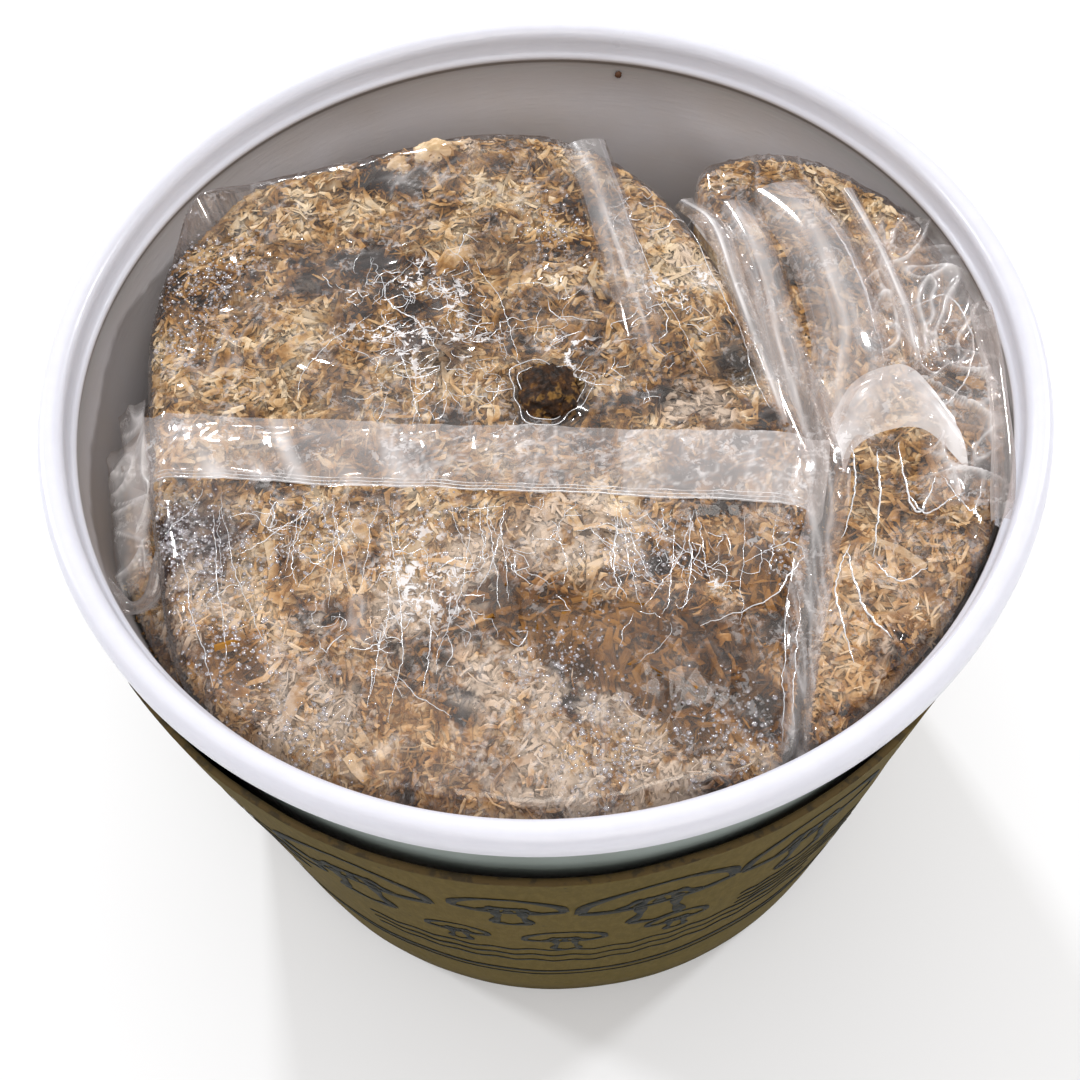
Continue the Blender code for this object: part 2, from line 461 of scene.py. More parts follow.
MAIN = Bag(
    "main",
    [(75, -26), (65, 14), (47, 64), (19, 95), (-18, 100), (-64, 93), (-103, 75), (-116, 33),
     (-113, -8), (-108, -45), (-95, -90), (-60, -116), (-20, -129), (23, -128), (54, -118), (67, -70)],
    [(66, -23), (56, 12), (41, 56), (17, 83), (-15, 88), (-50, 84), (-76, 66), (-72, 30),
     (-72, -8), (-74, -44), (-76, -74), (-50, -98), (-17, -109), (19, -108), (43, -100), (57, -61)],
    (14, 2, 6, 10), main_crown, 0.013, 0.010, main_relief)

RIGHT = Bag(
    "right",
    [(58, 84), (53, 62), (68, 18), (79, -24), (70, -68), (60, -113), (76, -106), (105, -78),
     (124, -43), (131, 0), (121, 45), (95, 80)],
    [(52, 73), (48, 54), (62, 16), (72, -20), (64, -59), (57, -85), (68, -86), (89, -66),
     (105, -34), (110, 0), (103, 38), (81, 68)],
    (6, 11, 0, 5), right_crown, 0.008, 0.006, right_relief)

LEFT = Bag(
    "left",
    [(-113, -28), (-116, 6), (-121, 22), (-126, 0), (-123, -36), (-115, -60), (-103, -78), (-105, -54)],
    [(-78, -10), (-80, 22), (-88, 48), (-103, 34), (-109, 0), (-105, -30), (-92, -58), (-80, -46)],
    (6.4, 1.6, 2.4, 5.6), left_crown, 0.006, 0.004, left_relief)

BAGS = (MAIN, RIGHT, LEFT)
BAG_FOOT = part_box("main_substrate")[0].z


def lofted(bag, columns, rows, heights, plan, levels):
    """A bag's top grid, its sides down to the foot and its underside."""
    index, places = bag.rim_index(columns, rows)
    top = np.column_stack([plan, heights])
    border = top[index]
    foot = closed_curve(bag.foot, places)
    points, faces = [top], [grid_faces(rows, columns)]
    ring = index
    total = len(top)
    for level in np.linspace(0, 1, levels + 1)[1:]:
        level_plan = border[:, :2] * (1 - level) + foot * level
        level_z = border[:, 2] * (1 - level) + BAG_FOOT * level
        points.append(np.column_stack([level_plan, level_z]))
        lower = total + np.arange(len(index))
        quads = [ring, lower, np.roll(lower, -1), np.roll(ring, -1)]
        faces.append(np.stack(quads, axis=1))
        ring = lower
        total += len(index)
    points.append(np.array([[*foot.mean(axis=0), BAG_FOOT]]))
    fan = np.stack([np.roll(ring, -1), ring, np.full(len(ring), total)], axis=1)
    return np.concatenate(points), [*faces[0].tolist(), *np.concatenate(faces[1:]).tolist(), *fan.tolist()]


# ---------------------------------------------------------------- settings

def colour_property(name, default, description):
    return FloatVectorProperty(name=name, subtype="COLOR", size=3, min=0.0, max=1.0,
                               default=default, description=description)


def length_property(name, default, description):
    return FloatProperty(name=name, default=default, unit="LENGTH", precision=5, description=description)


class GrowKitTub(bpy.types.PropertyGroup):
    outer: length_property("Rim radius", (TUB_HIGH.x - TUB_LOW.x) / 2, "Widest radius of the rolled rim")
    lip: length_property("Lip width", 0.0073, "Width of the rolled rim seen from above")
    wall: length_property("Wall", 0.003, "Thickness of the tub's wall")
    white: colour_property("Plastic", (0.69, 0.69, 0.76), "Colour of the tub's plastic")
    # partly painted light: the clouded inside gets a warmer, lighter tint for light bounced off the straw
    inner: colour_property("Inside", (0.66, 0.61, 0.605), "Clouded inside of the wall")
    # painted shade: this colour darkens the outside below the rim, where the downward-facing wall is in shade
    shade: colour_property("Outside", (0.24, 0.28, 0.25), "Dulled outside below the rim")


class GrowKitSleeve(bpy.types.PropertyGroup):
    card: length_property("Card", 0.002, "Thickness of the card")
    kraft: colour_property("Kraft", (0.092, 0.062, 0.009), "Colour of the card's face")
    core: colour_property("Cut edge", (0.085, 0.055, 0.024), "Colour of the card's cut edge")
    ink: colour_property("Ink", (0.007, 0.009, 0.009), "Faded ink of the drawing")


class GrowKitStraw(bpy.types.PropertyGroup):
    seed: IntProperty(name="Seed", default=7, description="Start of the random draws")
    pale: colour_property("Pale straw", (0.74, 0.51, 0.26), "Lightest straw")
    gold: colour_property("Golden straw", (0.42, 0.225, 0.070), "Most of the straw")
    brown: colour_property("Brown straw", (0.110, 0.048, 0.020), "Wet or old straw")
    slate: colour_property("Dark bits", (0.034, 0.025, 0.022), "Wet dark bits")
    cream: colour_property("Mycelium", (0.80, 0.665, 0.53), "Colour of the mycelium's felt")


class GrowKitFilm(bpy.types.PropertyGroup):
    gloss: FloatProperty(name="Gloss", default=0.045, min=0, max=1, description="Mirror share of the film")
    haze: FloatProperty(name="Haze", default=0.022, min=0, max=1, description="Milky share of the film")
    milk: colour_property("Milk", (0.76, 0.72, 0.71), "Colour of the film's haze")
    fin: length_property("Header fin", 0.022, "Width of the main bag's folded header")
    seed: IntProperty(name="Seed", default=23, description="Start of the random draws")


class GrowKitStage(bpy.types.PropertyGroup):
    floor: colour_property("Floor", (0.86, 0.86, 0.86), "Colour of the floor")
    light: FloatProperty(name="Light", default=1.0, min=0, description="Strength of all the lamps")


# ---------------------------------------------------------------- finishes

def tub_finish(look):
    """White plastic, clouded and streaked inside with a painted warm bounce-light tint, a painted shadow band under
    the rim and a painted shadow line under the ledge; painted shade outside below the rim.
    """
    m = Finish("tub plastic")
    x, y, z = m.axis("X"), m.axis("Y"), m.axis("Z")
    radius = (x * x + y * y) ** 0.5
    below = z.step(RIM - 0.0085, RIM - 0.0105)
    outer = radius.step(look.outer - 0.0078, look.outer - 0.0066)
    mottle = m.noise(0.022, 5.0)
    fine = m.noise(0.004, 4.0, vector=m.stretched(1, 1, 3))
    # inside wall: clouded plastic with a painted warm bounce-light tint
    wall = m.mix(mottle.step(0.25, 0.75), tuple(look.inner), (0.68, 0.65, 0.68))
    shadow_band = z.step(RIM - 0.030, RIM - 0.013) * 0.5
    wall = m.mix(shadow_band, wall, (0.30, 0.255, 0.225))
    # painted shadow: a dark line under the inner ledge
    ledge_shadow_line = z.step(RIM - 0.0125, RIM - 0.0115) * z.step(RIM - 0.0098, RIM - 0.0106)
    wall = m.mix(ledge_shadow_line * 0.75, wall, (0.16, 0.125, 0.10))
    # painted shade on the outside below the rim, mottled
    under = m.mix(mottle.step(0.2, 0.8), tuple(look.shade), (0.32, 0.37, 0.35))
    body = m.mix(outer, wall, under)
    lip = m.mix(fine.step(0.3, 0.8) * 0.25, tuple(look.white), (0.80, 0.80, 0.86))
    colour = m.mix(below, lip, body)
    streaks = m.noise(0.0012, 3.0, vector=m.stretched(0.25, 0.25, 2.2))
    rough = 0.24 + below * 0.16 + mottle * 0.12
    normal = m.bump(streaks + mottle * 0.6, 0.35, 0.0003)
    return m.done(m.principled(Base_Color=colour, Roughness=rough, Normal=normal,
                               Specular_IOR_Level=0.5, Subsurface_Weight=0.05,
                               Subsurface_Radius=(0.004, 0.003, 0.003)))


def fleck_finish():
    m = Finish("soil fleck")
    colour = m.mix(m.noise(0.0006), (0.08, 0.03, 0.015), (0.16, 0.07, 0.03))
    return m.done(m.principled(Base_Color=colour, Roughness=0.7))


def kraft_finish(look):
    """Olive kraft card with fibres, scuffs and a darker cut edge."""
    m = Finish("kraft card")
    z = m.axis("Z")
    fibre = m.noise(0.0014, 5.0, 0.65, m.stretched(1, 1, 0.35))
    cloud = m.noise(0.030, 4.0)
    face = m.mix(cloud.step(0.25, 0.75) * 0.55, tuple(look.kraft), (0.070, 0.052, 0.008))
    face = m.mix(fibre.step(0.35, 0.75) * 0.45, face, (0.15, 0.105, 0.025))
    specks = m.cells(0.0045).step(0.16, 0.07) * m.noise(0.02).step(0.5, 0.62)
    face = m.mix(specks * 0.7, face, (0.025, 0.022, 0.015))
    edge = z.step(SLEEVE_HIGH.z - 0.0030, SLEEVE_HIGH.z - 0.0010)
    dark = m.noise(0.0022, 3.0).step(0.50, 0.62)
    frayed = m.mix(dark * 0.8, tuple(look.core), (0.03, 0.025, 0.02))
    colour = m.mix(edge * 0.85, face, frayed)
    foot = z.step(0.05, 0.0) * 0.35
    colour = m.mix(foot, colour, (0.12, 0.09, 0.022))
    normal = m.bump(fibre + cloud * 0.4, 0.5, 0.0004)
    return m.done(m.principled(Base_Color=colour, Roughness=0.86, Normal=normal,
                               Specular_IOR_Level=0.15))


def ink_finish(look):
    """Faded ink, worn through to the card in specks."""
    m = Finish("faded ink")
    worn = m.noise(0.0011, 4.0, 0.7).step(0.48, 0.68)
    patchy = m.noise(0.012, 3.0).step(0.35, 0.7)
    colour = m.mix(worn * 0.5, tuple(look.ink), tuple(look.kraft))
    colour = m.mix(patchy * 0.25, colour, (0.04, 0.045, 0.036))
    return m.done(m.principled(Base_Color=colour, Roughness=0.8, Specular_IOR_Level=0.2))


def mould_mask(m):
    """Where white mycelium covers the straw: felted patches and a thin net between them."""
    patches = [(-12, -88, 13), (2, -104, 15), (24, -118, 9), (8, -52, 13), (-20, -60, 9),
               (-64, -98, 11), (-92, -66, 10), (-16, 95, 7), (52, 40, 9), (44, -14, 9),
               (-4, -118, 9), (-40, -70, 8)]
    mask = None
    for x, y, radius in patches:
        spot = m.blob(x * MM, y * MM, radius * 1.15 * MM, 0.35)
        mask = spot if mask is None else mask.most(spot)
    net = m.noise(0.007, 3.0, 0.6, warp=0.6).step(0.47, 0.66)
    front = m.axis("Y").step(-0.035, -0.070)
    thin = m.noise(0.0035, 3.0, 0.65).step(0.53, 0.64) * m.noise(0.010, 1.0).step(0.38, 0.60)
    felt = mask * m.noise(0.0045, 3.0, 0.65).step(0.38, 0.56)
    return ((felt * 1.1 + front * thin * 0.75 + net * 0.12) * (1.0 - clump_mask(m))).clamp()


def clump_mask(m):
    """Where a raised clump of clean golden straw lies on the front half."""
    spots = [(-10, -75, 8), (2, -80, 10), (15, -84, 12), (27, -93, 12), (34, -106, 8), (47, -103, 9),
             (56, -85, 8), (57, -68, 9), (-85, -81, 7)]
    mask = None
    for x, y, radius in spots:
        spot = m.blob(x * MM, y * MM, radius * MM, 0.5)
        mask = spot if mask is None else mask.most(spot)
    return (mask + (m.noise(0.006, 2.0, 0.6) - 0.5) * 1.2).step(0.30, 0.55)


def straw_colour(m, look, tone):
    """Colour for a tone from 0 to 1: clouds of pale and wet straw, dark patches and mycelium."""
    cloud = m.noise(0.017, 3.0, 0.6, warp=0.5)
    patch = m.noise(0.0065, 4.0, 0.6)
    shade = (tone + (cloud - 0.5) * 2.6 + (patch - 0.5) * 2.2).clamp()
    colour = m.ramp(shade, (0.0, look.slate), (0.09, look.brown), (0.44, look.gold),
                    (0.76, look.pale), (1.0, (0.92, 0.76, 0.52)))
    grey = m.noise(0.011, 2.0, vector=m.stretched(1.0, 1.3, 1.0)).step(0.60, 0.72)
    colour = m.mix(grey * 0.35, colour, (0.12, 0.075, 0.05))
    front = m.axis("Y").step(-0.030, -0.075)
    colour = m.mix(front * 0.5, colour, (0.92, 0.74, 0.60), "MULTIPLY")
    flecks = m.noise(0.0024, 2.0, 0.6).step(0.58, 0.66) * m.noise(0.012, 1.0).step(0.36, 0.62)
    colour = m.mix(flecks * 0.7, colour, (0.055, 0.022, 0.010))
    clump = clump_mask(m)
    golden = m.ramp(shade, (0.0, (0.020, 0.008, 0.002)), (0.4, (0.13, 0.050, 0.008)), (0.8, (0.34, 0.16, 0.030)))
    colour = m.mix(clump * 0.95, colour, golden)
    slate_patch = m.blob(-0.096, -0.047, 0.014).most(m.blob(-0.030, 0.012, 0.009) * 0.7)
    slate_patch = slate_patch.most(m.blob(-0.012, 0.052, 0.008) * 0.3)
    colour = m.mix(slate_patch * 0.85, colour, (0.040, 0.026, 0.036))
    hollow = m.blob(*HOLE, 0.011).most(m.blob(0.057, 0.003, 0.007) * 0.9)
    return m.mix(hollow * 0.9, colour, (0.012, 0.007, 0.005))


def straw_finish(look):
    """Chopped straw: each bit has its own tone; bare bits are golden and free of mycelium; bits sunk deeper get
    painted shade.
    """
    m = Finish("chopped straw")
    grain = m.noise(0.0012, 2.0, 0.6)
    colour = straw_colour(m, look, m.stored("tone") + (grain - 0.5) * 0.6)
    bare = m.stored("bare")
    colour = m.mix(bare * 0.30, colour, (0.27, 0.115, 0.018))
    colour = m.mix(mould_mask(m) * (1.0 - bare) * 0.9, colour, tuple(look.cream))
    # painted shade: bits sunk deeper into the straw are darkened
    colour = m.mix(m.stored("deep") * 0.75, colour, tuple(0.3 * c for c in look.brown))
    normal = m.bump(grain, 0.7, 0.0004)
    return m.done(m.principled(Base_Color=colour, Roughness=0.62, Normal=normal,
                               Specular_IOR_Level=0.0))


def flakes(m, size, turn, seed):
    """Tone and edge of matted flakes that all point one way."""
    wander = m.node("ShaderNodeTexNoise", {}, {"Vector": m.place(), "Scale": 130.0}, output="Color")
    bent = m.node("ShaderNodeVectorMath", {"operation": "MULTIPLY_ADD"}, {0: wander, 1: (0.004,) * 3, 2: m.place()})
    turned = m.node("ShaderNodeMapping", {}, {"Vector": bent, "Location": (seed, 0, 0), "Rotation": (0, 0, turn),
                                              "Scale": (1.0, 0.28, 0.6)})
    colour = m.cells(size, vector=turned, output="Color")
    tone = m.node("ShaderNodeSeparateXYZ", {}, {0: colour}, output="X")
    return tone, m.cells(size, "DISTANCE_TO_EDGE", turned)


def block_finish(look):
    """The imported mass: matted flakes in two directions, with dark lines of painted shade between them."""
    m = Finish("packed straw")
    tone, edge = flakes(m, 0.0016, 0.5, 0.0)
    other_tone, other_edge = flakes(m, 0.0021, 2.0, 3.0)
    choice = m.noise(0.006, 3.0).step(0.46, 0.54)
    tone = tone * choice + other_tone * (1.0 - choice)
    edge = edge * choice + other_edge * (1.0 - choice)
    grain = m.noise(0.0011, 2.0, 0.65)
    colour = straw_colour(m, look, tone * 0.5 + 0.2 + (grain - 0.5) * 0.7)
    # painted shade: dark lines in the gaps between the flakes
    lines = edge.step(0.10, 0.0)
    colour = m.mix(lines * 0.55, colour, tuple(0.4 * c for c in look.brown))
    colour = m.mix(mould_mask(m) * 0.9, colour, tuple(look.cream))
    normal = m.bump(grain, 0.9, 0.0007)
    return m.done(m.principled(Base_Color=colour, Roughness=0.75, Normal=normal, Specular_IOR_Level=0.0))


def film_finish(name, look, haze=1.0, rough=0.07, wrinkles=0.07):
    """Clear film: mostly see-through, with sharp gloss, a little milk, a stored white share that is partly milk and
    partly painted highlights along creases, and painted glints.
    """
    m = Finish(name)
    crumple = m.noise(0.007, 1.0, 0.5)
    normal = m.bump(crumple, wrinkles, 0.0010)
    facing = m.node("ShaderNodeLayerWeight", {}, {"Blend": 0.35, "Normal": normal}, output="Fresnel")
    gloss = m.node("ShaderNodeBsdfGlossy", {}, {"Color": (1.0, 0.985, 0.97), "Roughness": rough,
                                                "Normal": normal})
    clear = m.node("ShaderNodeBsdfTransparent", {}, {"Color": (0.82, 0.765, 0.735)})
    body = m.blend_shaders((facing * 0.30 + look.gloss).clamp(), clear, gloss)
    milk = m.principled(Base_Color=tuple(look.milk), Roughness=0.35, Normal=normal)
    veil = m.noise(0.020, 3.0, 0.6).step(0.42, 0.72)
    mist = m.noise(0.0016, 1.0).step(0.45, 0.75)
    # painted glints: white specks in a few patches stand in for small highlights on the film
    glints = None
    for x, y, radius in ((-34, 22, 20), (-40, 40, 9), (44, 28, 12), (40, -66, 12), (-34, -62, 13), (10, 8, 9)):
        spot = m.blob(x * MM, y * MM, radius * MM, 0.6)
        glints = spot if glints is None else glints.most(spot)
    speckle = m.noise(0.0014, 3.0, 0.7, warp=0.6).step(0.53, 0.58)
    painted_glint_patches = (glints + 0.22) * m.noise(0.007, 3.0).step(0.46, 0.58)
    white = m.stored("white") + painted_glint_patches * speckle * 0.85
    share = (veil * look.haze * 3.0 + mist * look.haze * 0.5 + white) * haze
    return m.done(m.blend_shaders(share.clamp(), body, milk))


def crease_finish():
    """Sharp folds of the film: gloss, with white painted on as painted highlights."""
    m = Finish("film crease")
    spark = m.noise(0.0030, 3.0).step(0.35, 0.6)
    gloss = m.node("ShaderNodeBsdfGlossy", {}, {"Color": (1.0, 1.0, 1.0), "Roughness": 0.2})
    # painted highlight: white diffuse stands in for the light caught along the folds
    white = m.principled(Base_Color=(0.93, 0.93, 0.96), Roughness=0.3)
    clear = m.node("ShaderNodeBsdfTransparent", {}, {"Color": (0.96, 0.96, 0.98)})
    bright = m.blend_shaders(0.45, white, gloss)
    return m.done(m.blend_shaders(spark * 0.5 + 0.5, clear, bright))


def droplet_finish():
    """Condensation: clear drops with a bright spot and a painted dark rim."""
    m = Finish("condensation")
    facing = m.node("ShaderNodeLayerWeight", {}, {"Blend": 0.5}, output="Facing")
    gloss = m.node("ShaderNodeBsdfGlossy", {}, {"Color": (1.0, 1.0, 1.0), "Roughness": 0.05})
    clear = m.node("ShaderNodeBsdfTransparent", {}, {"Color": (0.86, 0.84, 0.86)})
    # painted shade: grey at the drop's edges stands in for its dark rim
    rim = m.principled(Base_Color=(0.62, 0.60, 0.64), Roughness=0.2)
    body = m.blend_shaders(0.2, clear, gloss)
    return m.done(m.blend_shaders(facing * 0.5 + 0.06, body, rim))


def floor_finish(look):
    m = Finish("pale floor")
    cloud = m.noise(0.5, 3.0)
    colour = m.mix(cloud, tuple(look.floor), (0.88, 0.88, 0.885))
    return m.done(m.principled(Base_Color=colour, Roughness=0.9, Specular_IOR_Level=0.1))


# ---------------------------------------------------------------- operators

class KitOperator:
    bl_options = {"REGISTER", "UNDO"}

    def execute(self, context):
        self.build(context.scene)
        return {"FINISHED"}


def aim_camera(scene):
    """Camera above the front of the tub, turned a little about its own view line."""
    rise, roll, distance = radians(59.6), radians(3.25), 0.389
    ahead = Vector((0, cos(rise), -sin(rise)))
    up = Vector((0, sin(rise), cos(rise)))
    aim = Vector((-0.0031, 0, RIM)) - up * 0.0511
    camera = bpy.data.objects.new("camera", bpy.data.cameras.new("camera"))
    camera.data.sensor_width = 36.0
    camera.data.lens = 46.67
    camera.data.clip_start = 0.01
    camera.location = aim - ahead * distance
    turned = Euler((pi / 2 - rise, 0, 0)).to_matrix() @ Matrix.Rotation(-roll, 3, "Z")
    camera.rotation_euler = turned.to_euler()
    scene.collection.objects.link(camera)
    scene.camera = camera


def add_lamp(scene, name, place, size, power, colour):
    """Square lamp that points at the middle of the tub's mouth."""
    lamp = bpy.data.lights.new(name, "AREA")
    lamp.size = size
    lamp.energy = power * scene.grow_kit_stage.light
    lamp.color = colour
    holder = bpy.data.objects.new(name, lamp)
    holder.location = place
    away = Vector(place) - Vector((0, 0, RIM))
    holder.rotation_euler = away.to_track_quat("Z", "Y").to_euler()
    scene.collection.objects.link(holder)


class GROWKIT_OT_stage(KitOperator, bpy.types.Operator):
    """Add the floor, the lamps and the camera"""
    bl_idname = "growkit.stage"
    bl_label = "Stage"

    def build(self, scene):
        reach, steps = 4.0, 9
        side = np.linspace(-reach, reach, steps)
        x, y = np.meshgrid(side, side)
        points = np.column_stack([x.ravel(), y.ravel(), np.full(x.size, TUB_LOW.z - 0.0002)])
        data = bpy.data.meshes.new("floor")
        data.from_pydata(points.tolist(), [], grid_faces(steps, steps).tolist())
        data.materials.append(floor_finish(scene.grow_kit_stage))
        floor = bpy.data.objects.new("floor", data)
        scene.collection.objects.link(floor)
        world = bpy.data.worlds.new("pale room")
        world.use_nodes = True
        backdrop = world.node_tree.nodes["Background"]
        backdrop.inputs["Color"].default_value = (0.98, 0.98, 1.0, 1.0)
        backdrop.inputs["Strength"].default_value = 0.45
        scene.world = world
        aim_camera(scene)
        cool, warm = (0.95, 0.97, 1.0), (1.0, 0.97, 0.93)
        add_lamp(scene, "rear low", (-0.35, 1.25, 0.78), 0.13, 9.5, cool)
        add_lamp(scene, "left low", (-1.10, 0.40, 0.74), 0.13, 6.0, cool)
        add_lamp(scene, "right low", (1.05, 0.50, 0.80), 0.13, 6.5, cool)
        add_lamp(scene, "overhead", (-0.05, 0.10, 2.00), 2.40, 11.0, warm)
        add_lamp(scene, "front soft", (0.2, -1.1, 1.4), 1.20, 12.0, warm)
        scene.view_settings.view_transform = "Standard"
        scene.cycles.transparent_max_bounces = 12
        scene.cycles.max_bounces = 2
        scene.cycles.use_light_tree = False
        scene.cycles.diffuse_bounces = 1
        scene.cycles.glossy_bounces = 1
        scene.cycles.transmission_bounces = 1


def turned_profile(look):
    """Radius and height up the outside, over the rolled rim and down the inside."""
    outer, mouth = look.outer, look.outer - look.lip
    middle, half = (outer + mouth) / 2, look.lip / 2
    crest = RIM - 0.004
    rounded = [(middle + half * cos(a), crest + 0.004 * sin(a) ** 0.8) for a in np.linspace(0, pi, 17)]
    wall_top, wall_foot = outer - 0.0045, outer - 0.0205
    foot_round = 0.003
    corner = [(wall_foot - foot_round + foot_round * sin(a), foot_round - foot_round * cos(a))
              for a in np.linspace(0, pi / 2, 5)]
    rise = np.linspace(0.05, 1, 12)
    outside = [(wall_foot + (wall_top - wall_foot) * r, foot_round + (RIM - 0.0175) * r) for r in rise]
    inside = [(r - look.wall, z) for r, z in outside[::-1]]
    return [
        (0.0, 0.0), *corner, *outside,
        (wall_top + 0.0010, RIM - 0.0138), (wall_top + 0.0013, RIM - 0.0125), (wall_top + 0.0013, RIM - 0.0112),
        (outer - 0.0022, RIM - 0.0100), (outer - 0.0007, RIM - 0.0097), (outer - 0.0001, RIM - 0.0086),
        *rounded,
        (mouth - 0.0001, RIM - 0.0076), (mouth - 0.0006, RIM - 0.0086), (mouth - 0.0013, RIM - 0.0092),
        (mouth - 0.0015, RIM - 0.0100), (mouth - 0.0012, RIM - 0.0110), (mouth - 0.0006, RIM - 0.0122),
        *inside, (wall_foot - look.wall - 0.002, 0.0030), (0.0, 0.0026),
    ]


class GROWKIT_OT_tub(KitOperator, bpy.types.Operator):
    """Turn the white tub with its rolled rim"""
    bl_idname = "growkit.tub"
    bl_label = "Tub"
    STEPS = 256

    def build(self, scene):
        look = scene.grow_kit_tub
        profile = np.array(turned_profile(look))
        body = profile[1:-1]
        turns = np.linspace(0, 2 * pi, self.STEPS, endpoint=False)
        waver = 1 + 0.0006 * np.sin(2 * turns + 0.6) + 0.0003 * np.sin(5 * turns)
        rings = []
        for radius, height in body:
            rings.append(np.column_stack([radius * waver * np.cos(turns), radius * waver * np.sin(turns),
                                          np.full(self.STEPS, height)]))
        points = np.concatenate([*rings, [[0, 0, profile[0][1]]], [[0, 0, profile[-1][1]]]])
        faces = grid_faces(len(body), self.STEPS, wrap=True).tolist()
        below, above = len(points) - 2, len(points) - 1
        last = (len(body) - 1) * self.STEPS
        for i in range(self.STEPS):
            j = (i + 1) % self.STEPS
            faces.append((j, i, below))
            faces.append((last + i, last + j, above))
        add_piece("tub_shell", points, faces, tub_finish(look), "white_plastic", "tub")
        self.add_fleck()

    def add_fleck(self):
        """A crumb of soil that sticks to the rear wall."""
        angle, radius, height = radians(76.0), 0.1312, RIM - 0.0150
        draw = np.random.default_rng(3)
        lat, lon = np.meshgrid(np.linspace(0.15, pi - 0.15, 7), np.linspace(0, 2 * pi, 12, endpoint=False),
                               indexing="ij")
        ball = np.stack([np.sin(lat) * np.cos(lon), np.sin(lat) * np.sin(lon), np.cos(lat)], -1).reshape(-1, 3)
        ball *= 1 + draw.uniform(-0.18, 0.18, (len(ball), 1))
        ball *= (0.0011, 0.0006, 0.0013)
        ball += (radius * cos(angle), radius * sin(angle), height)
        faces = grid_faces(7, 12, wrap=True).tolist() + [list(range(12))[::-1], list(range(72, 84))]
        add_piece("soil_fleck", ball, faces, fleck_finish(), "white_plastic")


class SleeveShape:
    """The loose cone of card: leaning, with a wavy cut top."""

    def __init__(self, look):
        self.card = look.card
        self.high = SLEEVE_HIGH.z
        self.top = (SLEEVE_HIGH.x - SLEEVE_LOW.x) / 2
        self.top_shift = (SLEEVE_HIGH.x + SLEEVE_LOW.x) / 2
        self.foot = self.top - 0.0148
        self.wave = Noise(5)

    def cut(self, turns):
        """Height of the top edge around the sleeve."""
        here = np.column_stack([np.cos(turns), np.sin(turns), np.zeros_like(turns)])
        return self.high - 0.0011 + 0.0007 * self.wave(here, 0.16) + 0.00035 * self.wave(here, 0.03)

    def spot(self, turns, share, off=0.0):
        """Points at shares of the height, off the outer face."""
        turns, share = np.broadcast_arrays(turns, share)
        here = np.column_stack([np.cos(turns), np.sin(turns), share * 1.3])
        dent = 0.0006 * self.wave(here, 0.5) + 0.0002 * self.wave(here, 0.16)
        radius = self.foot + (self.top - self.foot) * share + dent + off
        shift = 0.0006 + (self.top_shift - 0.0006) * share
        return np.column_stack([shift + radius * np.cos(turns), radius * np.sin(turns),
                                self.cut(turns) * share])


class GROWKIT_OT_sleeve(KitOperator, bpy.types.Operator):
    """Wrap the kraft card sleeve around the tub"""
    bl_idname = "growkit.sleeve"
    bl_label = "Sleeve"
    STEPS = 256

    def build(self, scene):
        look = scene.grow_kit_sleeve
        shape = SleeveShape(look)
        turns = np.linspace(0, 2 * pi, self.STEPS, endpoint=False)
        shares = np.concatenate([np.linspace(0, 0.96, 16), [0.98, 0.992, 1.0]])
        outer = [shape.spot(turns, s) for s in shares]
        inner = [shape.spot(turns, s, -look.card) for s in shares[::-1]]
        frayed = np.random.default_rng(9).uniform(-0.00012, 0.00012, (self.STEPS, 3))
        outer[-1] += frayed
        rings = [*outer, shape.spot(turns, 1.0, -look.card / 2) + (0, 0, 0.0002), *inner]
        rings.append(rings[0])
        points = np.concatenate(rings[:-1])
        faces = grid_faces(len(rings) - 1, self.STEPS, wrap=True).tolist()
        last = (len(rings) - 2) * self.STEPS
        for i in range(self.STEPS):
            j = (i + 1) % self.STEPS
            faces.append((last + i, last + j, j, i))
        add_piece("card_sleeve", points, faces, kraft_finish(look), "kraft_card", "sleeve")
        self.add_lap(shape, look)

    def add_lap(self, shape, look):
        """The glued lap at the back of the sleeve."""
        turns = np.linspace(radians(84), radians(96), 13)
        shares = np.linspace(0.004, 0.994, 20)
        outer = np.concatenate([shape.spot(turns, s, 0.0009) for s in shares])
        inner = np.concatenate([shape.spot(turns, s, 0.0001) for s in shares])
        count, size = len(turns), len(outer)
        faces = grid_faces(len(shares), count).tolist()
        faces += [[i + size for i in f[::-1]] for f in faces]
        rim = [*range(count), *[r * count + count - 1 for r in range(1, len(shares))],
               *range(size - 2, size - count - 1, -1), *[r * count for r in range(len(shares) - 2, 0, -1)]]
        for a, b in zip(rim, rim[1:] + rim[:1]):
            faces.append((b, a, a + size, b + size))
        add_piece("sleeve_lap", np.concatenate([outer, inner]), faces, kraft_finish(look), "kraft_card")


def mushroom_strokes(x, y, size):
    """A mushroom drawn in strokes, as lists of points around x, y."""
    cap = [(-1.0, 0.0), (-0.9, 0.45), (-0.5, 0.85), (0.0, 1.0), (0.5, 0.85), (0.9, 0.45), (1.0, 0.0)]
    under = [(-1.0, 0.0), (-0.5, -0.14), (0.0, -0.18), (0.5, -0.14), (1.0, 0.0)]
    left = [(-0.24, -0.17), (-0.22, -0.6), (-0.34, -1.1)]
    right = [(0.24, -0.17), (0.26, -0.6), (0.36, -1.1)]
    foot = [(-0.34, -1.1), (0.0, -1.24), (0.36, -1.1)]
    gills = [[(0.45 * k, -0.12), (0.18 * k, 0.30)] for k in (-1.2, -0.6, 0.0, 0.6, 1.2)]
    return [[(x + size * px, y + size * py) for px, py in s] for s in (cap, under, left, right, foot, *gills)]


def wave_stroke(start, end, y, height, turns):
    """A ruled wavy line between two places along the sleeve."""
    across = np.linspace(start, end, int(turns * 4) + 1)
    return [(x, y + height * sin(2 * pi * turns * (x - start) / (end - start))) for x in across]


